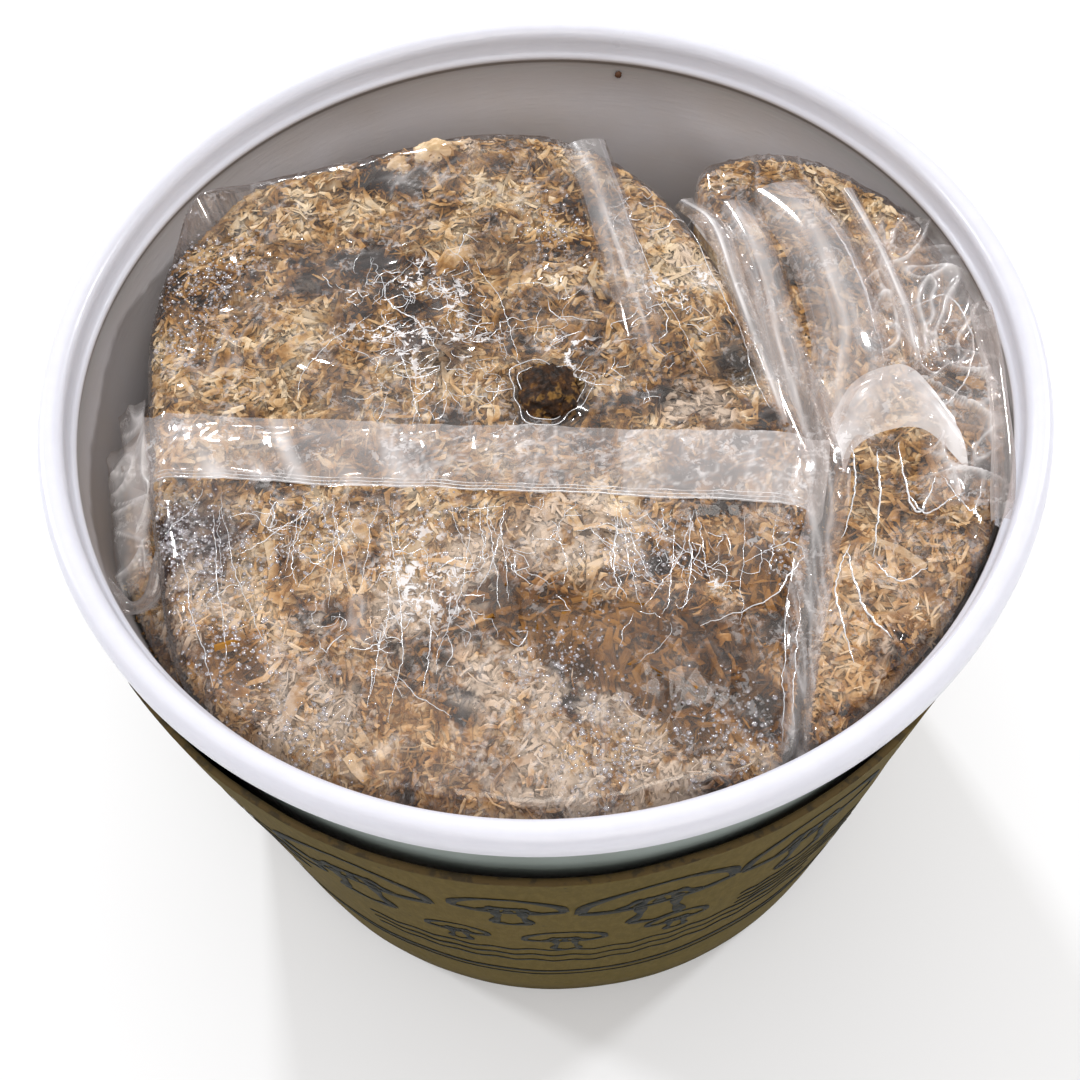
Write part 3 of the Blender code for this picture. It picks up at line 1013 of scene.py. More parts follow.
class GROWKIT_OT_print(KitOperator, bpy.types.Operator):
    """Draw plain mushrooms and ruled lines on the sleeve in faded ink"""
    bl_idname = "growkit.print"
    bl_label = "Sleeve Drawing"
    INK = 0.00012

    def strokes(self):
        """Each stroke is a line of points, along the sleeve and up it in millimetres, and its width."""
        drawn = []
        for x, y, size in ((-64, 141, 24), (-17, 147, 16), (26, 142, 23), (76, 141, 24)):
            drawn += [(s, 2.3 if size > 18 else 1.8) for s in mushroom_strokes(x, y, size)]
        drawn += [(s, 1.6) for s in mushroom_strokes(-96, 128, 20)]
        for x, y, size in ((-36, 104, 10), (-2, 101, 13), (34, 104, 10)):
            drawn += [(s, 1.3) for s in mushroom_strokes(x, y, size)]
        for k in range(4):
            drawn.append((wave_stroke(56, 108, 104 - 7 * k, 0.8, 6), 1.1))
        for k in range(3):
            drawn.append((wave_stroke(-70, 90, 84 - 9 * k, 1.2, 12), 1.2))
        drawn.append((wave_stroke(-120, 130, 46, 0.0, 10), 2.4))
        drawn.append((wave_stroke(-120, 130, 40, 0.0, 10), 1.0))
        return drawn

    def build(self, scene):
        shape = SleeveShape(scene.grow_kit_sleeve)
        points, faces = [], []
        base = 0
        for stroke, width in self.strokes():
            line = smooth_path(stroke, max(8, len(stroke) * 5)) * MM
            along = np.gradient(line, axis=0)
            along /= np.linalg.norm(along, axis=1, keepdims=True) + 1e-12
            aside = np.column_stack([-along[:, 1], along[:, 0]])
            swell = 0.75 + 0.25 * np.sin(np.linspace(0, 3 * pi, len(line)))
            reach = aside * (1.8 * width * MM / 2 * swell)[:, None]
            corners = []
            for side, off in ((-1, 0.0001), (1, 0.0001), (1, self.INK + 0.0001), (-1, self.INK + 0.0001)):
                place = line + side * reach
                corners.append(shape.spot(place[:, 0] / shape.top - pi / 2, place[:, 1] / shape.high, off))
            count = len(line)
            points += corners
            for k in range(4):
                here, there = base + k * count, base + (k + 1) % 4 * count
                faces += [(here + i, here + i + 1, there + i + 1, there + i) for i in range(count - 1)]
            faces.append([base + k * count for k in range(4)])
            faces.append([base + k * count + count - 1 for k in range(4)][::-1])
            base += 4 * count
        finish = ink_finish(scene.grow_kit_sleeve)
        add_piece("sleeve_drawing", np.concatenate(points), faces, finish, "kraft_card")


BLOCK_DEPTH = 0.0024               # the block lies this far under the film


def block_height(bag, x, y):
    here = flat(x, y)
    rough = 0.7 * LUMPS(here, 0.005) + 0.5 * LUMPS(here, 0.0027)
    return bag.straw_top(x, y) - BLOCK_DEPTH + rough * MM


class GROWKIT_OT_blocks(KitOperator, bpy.types.Operator):
    """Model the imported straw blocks"""
    bl_idname = "growkit.blocks"
    bl_label = "Straw Blocks"
    GRIDS = {"main": (190, 210), "right": (80, 180), "left": (24, 80)}

    def build(self, scene):
        finish = block_finish(scene.grow_kit_straw)
        for bag in BAGS:
            columns, rows = self.GRIDS[bag.name]
            plan = bag.patch(columns, rows, inset=0.02)
            heights = block_height(bag, plan[:, 0], plan[:, 1])
            points, faces = lofted(bag, columns, rows, heights, plan, 4)
            add_piece(bag.name + "_block", points, faces, finish, "colonised_straw", bag.name + "_substrate")


def bits(draw, tails, tips, widths, thickness, bend):
    """Curved flat bits of straw between tails and tips, as points, faces and the number of each bit."""
    count, stations = len(tails), 3
    run = tips - tails
    lengths = np.linalg.norm(run, axis=1)
    along = run / lengths[:, None]
    side = np.cross((0.0, 0.0, 1.0), along)
    side /= np.linalg.norm(side, axis=1, keepdims=True)
    up = np.cross(along, side)
    roll = draw.normal(0, 0.4, count)[:, None]
    across = side * np.cos(roll) + up * np.sin(roll)
    normal = np.cross(along, across)
    steps = np.linspace(-0.5, 0.5, stations)
    taper = np.stack([draw.uniform(0.3, 1, count), np.ones(count), draw.uniform(0.2, 0.9, count)], axis=1)
    arch = (steps ** 2 - 0.12) * lengths[:, None]
    bow = draw.normal(0, bend * 0.4, count)[:, None] * arch
    sway = draw.normal(0, bend, count)[:, None] * arch
    middle = (tails + tips)[:, None] / 2 + along[:, None] * (steps * lengths[:, None])[..., None]
    middle = middle + normal[:, None] * bow[..., None] + across[:, None] * sway[..., None]
    wide = across[:, None] * (taper * widths[:, None] / 2)[..., None]
    high = normal[:, None] * (thickness[:, None] / 2 * np.ones((1, stations)))[..., None]
    crest = draw.uniform(-0.6, 0.6, count)[:, None, None]
    corners = np.stack([middle - wide - high * 0.5, middle + wide - high * 0.5,
                        middle + wide * crest + high], axis=2)
    points = corners.reshape(-1, 3)
    pattern = []
    for s in range(stations - 1):
        for k in range(3):
            a, b = s * 3 + k, s * 3 + (k + 1) % 3
            pattern.append((a, b, b + 3, a + 3))
    starts = 9 * np.arange(count)[:, None, None]
    walls = (np.array(pattern)[None] + starts).reshape(-1, 4).tolist()
    ends = (np.array([(2, 1, 0), (6, 7, 8)])[None] + starts).reshape(-1, 3).tolist()
    return points, walls + ends, np.repeat(np.arange(count), 9)


class GROWKIT_OT_straw(KitOperator, bpy.types.Operator):
    """Lay the chopped straw that shows through the film"""
    bl_idname = "growkit.straw"
    bl_label = "Chopped Straw"

    def scatter(self, bag, draw, count):
        grid_columns, grid_rows = 120, 140
        plan = bag.patch(grid_columns, grid_rows, inset=0.03)
        found = plan[draw.integers(0, len(plan), count)] + draw.normal(0, 0.0007, (count, 2))
        return found[np.hypot(found[:, 0] - HOLE[0], found[:, 1] - HOLE[1]) > HOLE_RADIUS * 1.15]

    def lay(self, name, bag, finish, seed, plan, length, width, depth, tilt, tone, bare=0.0):
        """One layer: length and width are ranges in millimetres, tone is a middle and a spread."""
        draw = np.random.default_rng(seed)
        x, y = plan[:, 0], plan[:, 1]
        room = np.clip(2 * (bag.inside(x, y) - 0.0015), 0.0012, 1.0)
        lengths = np.minimum(draw.uniform(*length, len(plan)) * MM, room)
        heading = 3.0 * LUMPS(flat(x, y) + (0, 0, 0.3), 0.020) + 0.9 + draw.normal(0, 0.8, len(plan))
        reach = np.column_stack([np.cos(heading), np.sin(heading)]) * lengths[:, None] / 2
        sink = draw.uniform(*depth, len(plan)) * MM
        ends = []
        for tip in (plan - reach, plan + reach):
            lift = draw.normal(0, tilt, len(plan)) * lengths
            ends.append(np.column_stack([tip, bag.straw_top(tip[:, 0], tip[:, 1]) - sink + lift]))
        widths = np.minimum(draw.uniform(*width, len(plan)) * MM, lengths * 0.8)
        thickness = draw.uniform(0.25, 0.6, len(plan)) * MM
        points, faces, owner = bits(draw, *ends, widths, thickness, 0.6)
        tones = np.clip(draw.normal(*tone, len(plan)), 0, 1)
        # how deep each bit sinks, used as painted crevice shade
        deep = (sink / MM - depth[0]) / (depth[1] - depth[0])
        add_piece(name, points, faces, finish, "colonised_straw", smooth=False,
                  tone=tones[owner], deep=deep[owner] ** 1.5,
                  bare=np.full(len(points), bare))

    def build(self, scene):
        look = scene.grow_kit_straw
        finish = straw_finish(look)
        draw = np.random.default_rng(look.seed)
        everywhere = self.scatter(MAIN, draw, 15000)
        behind = everywhere[everywhere[:, 1] > seal_line(everywhere[:, 0]) - 0.004]
        front = self.scatter(MAIN, draw, 16000)
        front = front[front[:, 1] < seal_line(front[:, 0]) + 0.002]
        x, y = front[:, 0], front[:, 1]
        clump = np.maximum(bell(x, y, (6, -80), 11, 2.6, -0.5), bell(x, y, (34, -92), 16))
        clump = np.maximum(clump, np.maximum(bell(x, y, (57, -62), 13), bell(x, y, (-84, -80), 8)))
        in_clump = clump > 0.35
        self.lay("main_straw_rear", MAIN, finish, 101, behind, (1.5, 7), (0.7, 2.3), (0.8, 2.9), 0.08,
                 (0.50, 0.15))
        self.lay("main_straw_clumps", MAIN, finish, 102, front[in_clump], (2, 9), (0.8, 2.6), (0.5, 2.4),
                 0.10, (0.42, 0.20), bare=1.0)
        self.lay("main_straw_front", MAIN, finish, 103, front[~in_clump], (1.2, 4.5), (0.6, 1.8), (1.0, 2.9),
                 0.08, (0.45, 0.17))
        right = self.scatter(RIGHT, draw, 5600)
        self.lay("right_straw", RIGHT, finish, 104, right, (1.5, 7), (0.7, 2.3), (0.8, 2.9), 0.08, (0.46, 0.17))
        left = self.scatter(LEFT, draw, 1100)
        self.lay("left_straw", LEFT, finish, 105, left, (3, 10), (0.7, 2.0), (1.0, 3.0), 0.06, (0.50, 0.15))
        self.add_fibres(scene, finish)
        for bag, count in ((MAIN, 330), (RIGHT, 120)):
            self.lay(bag.name + "_stalks", bag, finish, 300 + count, self.scatter(bag, draw, count), (7, 17),
                     (1.8, 4.5), (0.9, 2.2), 0.03, (0.60, 0.16), bare=0.35)

    def add_fibres(self, scene, finish):
        """Long thin fibres over the chopped bits."""
        draw = np.random.default_rng(scene.grow_kit_straw.seed + 1)
        for bag, count in ((MAIN, 1300), (RIGHT, 400)):
            plan = self.scatter(bag, draw, count)
            self.lay(bag.name + "_fibres", bag, finish, 200 + count, plan, (3, 10), (0.2, 0.6), (0.7, 1.8),
                     0.03, (0.58, 0.18))


def lump_finish():
    """Dark knobbly growth, brown-black with yellow tips."""
    m = Finish("dark growth")
    grain = m.noise(0.0018, 4.0, 0.65)
    tips = m.noise(0.0036, 3.0).step(0.56, 0.63)
    colour = m.ramp(grain, (0.40, (0.010, 0.004, 0.001)), (0.56, (0.045, 0.017, 0.004)),
                    (0.74, (0.17, 0.072, 0.012)))
    colour = m.mix(tips * 0.55, colour, (0.32, 0.17, 0.04))
    return m.done(m.principled(Base_Color=colour, Roughness=0.6, Normal=m.bump(grain, 0.8, 0.0008),
                               Specular_IOR_Level=0.2))


class GROWKIT_OT_growth(KitOperator, bpy.types.Operator):
    """Grow the dark knobbly lump in the opening of the main bag"""
    bl_idname = "growkit.growth"
    bl_label = "Dark Growth"

    def build(self, scene):
        waves = Noise(77)
        rows, columns = 44, 64
        lat, lon = np.meshgrid(np.linspace(0.04, pi - 0.04, rows),
                               np.linspace(0, 2 * pi, columns, endpoint=False), indexing="ij")
        ball = np.stack([np.sin(lat) * np.cos(lon), np.sin(lat) * np.sin(lon), np.cos(lat)], -1).reshape(-1, 3)
        size = 1 + 0.22 * waves(ball, 0.7) + 0.16 * waves.ridged(ball, 0.32, 2) + 0.06 * waves(ball, 0.12)
        knob = ball * size[:, None] * (0.0074, 0.0094, 0.0050)
        top = MAIN.straw_top(np.array([HOLE[0]]), np.array([HOLE[1]]))[0]
        knob += (*HOLE, top + 0.0022)
        faces = grid_faces(rows, columns, wrap=True).tolist()
        faces += [list(range(columns))[::-1], list(range((rows - 1) * columns, rows * columns))]
        add_piece("dark_growth", knob, faces, lump_finish(), "colonised_straw")
        self.add_cream(scene.grow_kit_straw, ball, faces)

    def add_cream(self, look, ball, faces):
        """Two pale knots of mycelium at the rear edge of the main bag."""
        m = Finish("cream growth")
        cloud = m.noise(0.004, 4.0)
        colour = m.mix(cloud.step(0.35, 0.7), (0.60, 0.40, 0.20), (0.80, 0.64, 0.42))
        finish = m.done(m.principled(Base_Color=colour, Roughness=0.5, Normal=m.bump(cloud, 0.5, 0.0006)))
        waves = Noise(78)
        for name, x, y, reach in (("cream_growth_a", -29, 91, 6.5), ("cream_growth_b", -41, 88, 4.5)):
            size = 1 + 0.30 * waves(ball + reach, 0.8) + 0.12 * waves(ball, 0.25)
            knob = ball * size[:, None] * (reach * MM, reach * 0.75 * MM, reach * 0.55 * MM)
            top = MAIN.straw_top(np.array([x * MM]), np.array([y * MM]))[0]
            add_piece(name, knob + (x * MM, y * MM, top - 0.0024), faces, finish, "colonised_straw")


FOLDS = Noise(31)


def film_wrinkles(x, y, amount=1.0):
    """Height of the film's long sharp creases, which come in patches and in three directions."""
    here = flat(x, y)
    wander = np.stack([FOLDS(here, 0.024), FOLDS(here + 3.0, 0.024), 0 * x], axis=1) * 0.007
    lift = np.zeros_like(x)
    for turn, offset in ((0.4, 1.7), (1.5, 4.1), (2.5, 6.3)):
        bent = here + wander + offset
        along = bent[:, 0] * cos(turn) + bent[:, 1] * sin(turn)
        across = bent[:, 1] * cos(turn) - bent[:, 0] * sin(turn)
        crest = FOLDS.ridged(flat(along / 0.030, across / 0.009), 1.0, 5)
        lift += 0.6 * crest * np.clip(FOLDS(here + offset, 0.035) * 1.5 + 0.3, 0, 1)
    return lift * MM * amount


FILM_GAP = 0.0009                  # the film bridges the straw at about this height


def main_film_height(x, y):
    lift = MAIN.straw_top(x, y, 0.25) + film_wrinkles(x, y) + FILM_GAP
    across = seal_line(x) - y
    pulled = np.exp(-((across - 0.012) / 0.022) ** 2) * (across > 0)
    streaks = FOLDS.ridged(flat(x / 0.011, y / 0.060 + 5), 1.0, 5)
    lift += streaks * pulled * 0.6 * MM
    lift += 2.0 * MM * np.exp(-(across / 0.0035) ** 2)
    lift += 15.0 * MM * bell(x, y, (-107, 76), 15)
    return lift


def right_film_height(x, y):
    lift = RIGHT.straw_top(x, y, 0.3) + film_wrinkles(x + 0.4, y, 1.3) + FILM_GAP
    lift += 6.0 * MM * bell(x, y, (121, 12), 16, 1.6, 1.4) + 3.0 * MM * bell(x, y, (94, -30), 12)
    return lift


def left_film_height(x, y):
    return LEFT.straw_top(x, y, 0.5) + film_wrinkles(x + 0.9, y, 1.2) + FILM_GAP


HEIGHTS = {"main": main_film_height, "right": right_film_height, "left": left_film_height}


class GROWKIT_OT_films(KitOperator, bpy.types.Operator):
    """Stretch the wrinkled films over the blocks"""
    bl_idname = "growkit.films"
    bl_label = "Bag Films"
    GRIDS = {"main": (230, 260), "right": (84, 210), "left": (30, 110)}

    def build(self, scene):
        look = scene.grow_kit_film
        finish = film_finish("bag film", look)
        for bag in BAGS:
            columns, rows = self.GRIDS[bag.name]
            plan = bag.patch(columns, rows)
            x, y = plan[:, 0], plan[:, 1]
            heights = HEIGHTS[bag.name](x, y)
            points, faces = lofted(bag, columns, rows, heights, plan, 6)
            white = np.zeros(len(points))
            white[:len(plan)] = self.painted_crease_highlights(bag, x, y)
            if bag is MAIN:
                faces = self.cut_hole(points, faces)
            add_piece(bag.name + "_film", points, faces, finish, "clear_film", bag.name + "_bag_film", white=white)

    @staticmethod
    def painted_crease_highlights(bag, x, y):
        """Share of white painted along stretched creases and at the outline: painted highlights."""
        here = flat(x, y)
        # painted highlights along the crease crests and a painted sheen at the outline
        crease = FOLDS.ridged(here + 9.0, 0.010, 14) * np.clip(FOLDS(here, 0.03) + 0.2, 0, 1)
        edge = np.exp(-(bag.inside(x, y) / 0.0018) ** 2)
        return np.clip(0.45 * crease + 0.15 * edge, 0, 0.8)

    @staticmethod
    def cut_hole(points, faces):
        """Open the film over the hollow in the middle of the main bag."""
        away = points[:, :2] - HOLE
        angle = np.arctan2(away[:, 1], away[:, 0])
        ragged = HOLE_RADIUS * (1 + 0.16 * np.sin(3 * angle + 1) + 0.08 * np.sin(7 * angle))
        gone = (np.linalg.norm(away, axis=1) < ragged) & (points[:, 2] > RIM - 0.06)
        return [f for f in faces if not gone[list(f)].any()]


def band(front, rear, rows, bulge, ripple, seed):
    """A strip of film between two lines, arched by bulge and rippled."""
    shares = np.linspace(0, 1, rows)
    lines = [front * (1 - s) + rear * s for s in shares]
    waves = Noise(seed)
    for s, line in zip(shares, lines):
        lift = bulge * sin(pi * min(1.0, s * 1.15)) * (1 + 0 * line[:, 0])
        here = np.column_stack([line[:, 0], line[:, 1], np.full(len(line), s * 0.01)])
        lift += ripple * (waves(here, 0.014) + 0.5 * waves.ridged(here, 0.010, 2)) * min(1.0, s * 4)
        line[:, 2] += lift
    return np.concatenate(lines), grid_faces(rows, front.shape[0])


class GROWKIT_OT_fins(KitOperator, bpy.types.Operator):
    """Fold the sealed header fins back over the films"""
    bl_idname = "growkit.fins"
    bl_label = "Header Fins"

    def build(self, scene):
        look = scene.grow_kit_film
        finish = film_finish("header film", look, haze=1.3, rough=0.06, wrinkles=0.07)
        self.add_main(look, finish)
        self.add_right(finish)
        self.add_seals(finish)

    def add_main(self, look, finish):
        x = np.linspace(-0.109, 0.073, 220)
        root_y = seal_line(x)
        front = np.column_stack([x, root_y, main_film_height(x, root_y) + 0.0004])
        far_x = x + np.linspace(-0.004, 0.005, len(x))
        far_y = root_y + look.fin
        far_z = np.maximum(main_film_height(far_x, far_y), RIM - 0.011) + 0.0016
        rear = np.column_stack([far_x, far_y, far_z])
        points, faces = band(front, rear, 34, 0.0016, 0.0006, 41)
        here = flat(points[:, 0] / 0.010 + points[:, 1] / 0.02, points[:, 1] / 0.03)
        streaks = np.clip(FOLDS(here, 1.0) * 1.4 + 0.25, 0, 1)
        # painted highlight: broad white streaks on the left third of the fin
        left = np.exp(-((points[:, 0] + 0.070) / 0.030) ** 4)
        right = 0.12 * (points[:, 0] > 0.020) + 0.04 * (points[:, 0] > -0.045)
        # painted highlights along the fin's crease crests
        fin_crease_highlights = FOLDS.ridged(points * (1, 1.4, 1) + 5.0, 0.0055, 12) * 0.3 * (points[:, 0] > -0.045)
        white = 0.08 + right + left * (0.06 + 0.62 * streaks ** 1.5) + fin_crease_highlights
        add_piece("main_fin", points, faces, finish, "clear_film", white=white)

    def add_right(self, finish):
        front = smooth_path([(80, -38, 204), (84, -31, 208), (93, -28, 211), (103, -29, 211),
                             (113, -40, 207)], 70) * MM
        rear = smooth_path([(79, -20, 206), (86, -11, 210), (95, -8, 213), (103, -10, 213),
                            (112, -24, 209)], 70) * MM
        points, faces = band(front, rear, 24, 0.0025, 0.0006, 43)
        ends = np.abs(points[:, 0] - 0.094) / 0.016
        white = 0.26 + 0.6 * np.clip(ends, 0, 1) ** 2 * (0.7 + FOLDS(points, 0.006))
        add_piece("right_fin", points, faces, finish, "clear_film", white=np.clip(white, 0.1, 0.8))

    def add_seals(self, finish):
        """Welded lines at the fins' roots."""
        lines = []
        for k, offset in enumerate((0.0, 0.0011, 0.0024)):
            x = np.linspace(-0.108, 0.072, 90)
            y = seal_line(x) + offset
            z = main_film_height(x, y) + 0.0012 + 0.0002 * k
            lines.append(np.column_stack([x, y, z]))
        points, faces = sweep(lines, [0.00035, 0.00022, 0.0003], sides=4)
        add_piece("seal_welds", points, faces, crease_finish(), "clear_film")


def pleat(path, reach, height, lean, crest=0.6, rows=18):
    """A standing fold of film along a path, whitest at its crest, as points, faces and white."""
    line = smooth_path(path, 110) * MM
    across = np.cross(np.gradient(line, axis=0), (0, 0, 1.0))
    across /= np.linalg.norm(across, axis=1, keepdims=True)
    along = np.linspace(0, 1, len(line))
    rise = np.sin(0.25 + (pi - 0.35) * along) ** 0.7
    sheets, whites = [], []
    for s in np.linspace(-1, 1, rows):
        lift = (1 - abs(s) ** 1.5) * height * rise - 0.0012 * abs(s) ** 4
        sheets.append(line + across * (s * reach + lean * (1 - abs(s)))
                      + np.column_stack([0 * rise, 0 * rise, lift]))
        streak = FOLDS.ridged(flat(s * reach / 0.0035 + 0 * along, along * 1.6 + path[0][0]), 1.0, 3)
        soft = (1 - abs(s)) ** 1.4
        broken = np.clip(0.7 + 1.5 * FOLDS(flat(along * 0.08 + path[0][1], 0 * along), 0.013), 0.1, 1)
        sharp = np.exp(-((s * reach + 0.0012 * FOLDS(flat(along * 0.08, 0 * along + 3), 0.02)) / 0.0004) ** 2) * broken
        whites.append((crest * 0.26 * soft + 0.30 * streak * soft ** 0.5 + crest * 0.7 * sharp) * rise)
    return np.concatenate(sheets), grid_faces(rows, len(line)), np.concatenate(whites)


def crumpled(corners, columns, rows, amplitude, seed, turn, milk=0.16):
    """A creased sheet across four corners, given front left, front right, rear right, rear left."""
    a, b, c, d = (np.array(p, float) * MM for p in corners)
    u, v = np.meshgrid(np.linspace(0, 1, columns), np.linspace(0, 1, rows))
    u, v = u.ravel()[:, None], v.ravel()[:, None]
    sheet = (1 - v) * ((1 - u) * a + u * b) + v * ((1 - u) * d + u * c)
    waves = Noise(seed)
    push = np.stack([waves(sheet + k, 0.016) for k in (0.0, 2.0, 4.0)], axis=1)
    along = sheet[:, 0] * cos(turn) + sheet[:, 1] * sin(turn) + push[:, 0] * 0.004
    cross = sheet[:, 1] * cos(turn) - sheet[:, 0] * sin(turn) + push[:, 1] * 0.004
    folds = waves.ridged(flat(along / 0.034, cross / 0.011), 1.0, 4)
    fine = waves.ridged(flat(along / 0.012 + 9, cross / 0.020), 1.0, 6)
    sheet = sheet + push * amplitude * 0.5
    sheet[:, 2] += (folds + 0.4 * fine) * amplitude
    inner = np.clip(np.minimum(np.minimum(u, 1 - u), np.minimum(v, 1 - v)).ravel() * 6, 0, 1)
    # milk over the sheet, with painted highlights as white lines along the fold crests
    white = (milk + 0.16 * waves(sheet, 0.012) + 0.55 * folds ** 3 + 0.5 * fine ** 3) * inner
    return sheet, grid_faces(rows, columns), np.clip(white, 0, 0.85)


class GROWKIT_OT_folds(KitOperator, bpy.types.Operator):
    """Model the loose pleats, crumples and rolls of film"""
    bl_idname = "growkit.folds"
    bl_label = "Loose Film"

    def build(self, scene):
        finish = film_finish("loose film", scene.grow_kit_film, haze=1.0, rough=0.07, wrinkles=0.15)
        self.add_pleats(finish)
        self.add_crumples(finish)
        self.add_rolls(finish)
        self.add_gusset(finish)

    def add_batch(self, name, parts, finish):
        points, faces, white = [], [], []
        base = 0
        for more, quads, shares in parts:
            points.append(more)
            faces += (quads + base).tolist()
            white.append(shares)
            base += len(more)
        add_piece(name, np.concatenate(points), faces, finish, "clear_film", white=np.concatenate(white))

    def add_pleats(self, finish):
        pleats = [
            pleat([(18, 92, 206), (22, 71, 207), (25, 50, 207), (30, 23, 206), (34, 2, 203)], 0.007, 0.003, 0.001),
            pleat([(49, 71, 199), (56, 52, 206), (60, 24, 207), (65, -5, 206), (70, -30, 203)],
                  0.004, 0.004, 0.002, 1.0),
            pleat([(62, 72, 202), (67, 39, 207), (70, 5, 206), (74, -30, 204)], 0.007, 0.004, 0.002, 0.7),
            pleat([(77, 70, 204), (85, 42, 209), (88, 8, 210), (85, -11, 208), (81, -28, 205)],
                  0.011, 0.006, 0.003, 0.9),
            pleat([(98, 66, 205), (103, 32, 209), (106, 5, 209), (105, -8, 208)], 0.003, 0.003, 0.001, 1.0),
        ]
        self.add_batch("standing_pleats", pleats, finish)

    def add_crumples(self, finish):
        right = [
            crumpled([(92, -12, 208), (128, -10, 212), (126, 50, 203), (98, 58, 203)], 60, 90, 0.003, 61, 1.2),
            crumpled([(98, -52, 205), (121, -52, 208), (129, 4, 212), (104, -6, 209)], 50, 70, 0.003, 62, 2.2),
        ]
        self.add_batch("right_crumple", right, finish)
        left = [
            crumpled([(-114, -50, 188), (-109, -30, 198), (-116, 6, 197), (-126, 6, 190)], 60, 60, 0.0025, 63, 1.4, 0.36),
            crumpled([(-120, -58, 186), (-109, -50, 193), (-114, -4, 197), (-128, -8, 188)], 60, 60, 0.0025, 64, 0.8, 0.36),
        ]
        self.add_batch("left_crumple", left, finish)

    def add_gusset(self, finish):
        """The main bag's side gusset, which bridges to the right bag."""
        left = smooth_path([(48, 62, 202), (58, 34, 205), (66, 2, 206), (71, -26, 206), (69, -46, 206),
                            (62, -66, 204), (56, -88, 202), (51, -106, 199), (50, -119, 196)], 220)
        right = smooth_path([(58, 60, 202), (66, 34, 205), (74, 6, 206), (82, -22, 206), (81, -42, 207),
                             (75, -62, 204), (68, -84, 202), (62, -106, 200), (60, -116, 196)], 220)
        points, faces = band(left * MM, right * MM, 22, 0.0014, 0.0008, 71)
        self.add_batch("side_gusset", [(points, faces, 0.08 + 0.35 * FOLDS.ridged(points * (3, 0.5, 1), 0.012, 5))], finish)

    def add_rolls(self, finish):
        """Film edges that curl into open tubes."""
        rolls = []
        for path, radius in (([(126, 12, 211), (125, -12, 212), (122, -36, 211), (118, -58, 209)], 3.0),
                             ([(-124, -50, 190), (-116, -58, 190), (-109, -56, 193), (-106, -46, 198)], 2.2)):
            line = smooth_path(path, 60) * MM
            ahead = np.gradient(line, axis=0)
            ahead /= np.linalg.norm(ahead, axis=1, keepdims=True)
            aside = np.cross(ahead, (0, 0, 1.0))
            aside /= np.linalg.norm(aside, axis=1, keepdims=True)
            above = np.cross(aside, ahead)
            turns = np.linspace(0, 1.85 * pi, 22)
            rows = []
            for k, turn in enumerate(turns):
                reach = radius * MM * (1 - 0.12 * k / len(turns))
                squeeze = 1 + 0.15 * np.sin(np.linspace(0, 9, len(line)) + k * 0.1)
                rows.append(line + (aside * cos(turn) + above * sin(turn)) * (reach * squeeze)[:, None])
            shares = np.repeat(0.10 + 0.35 * np.abs(np.cos(turns)) ** 6, len(line))
            rolls.append((np.concatenate(rows), grid_faces(len(turns), len(line)), shares))
        self.add_batch("film_rolls", rolls, finish)


def on_film(x, y, off=0.0):
    """Points a little above the main bag's film."""
    return np.column_stack([x, y, main_film_height(x, y) + off])


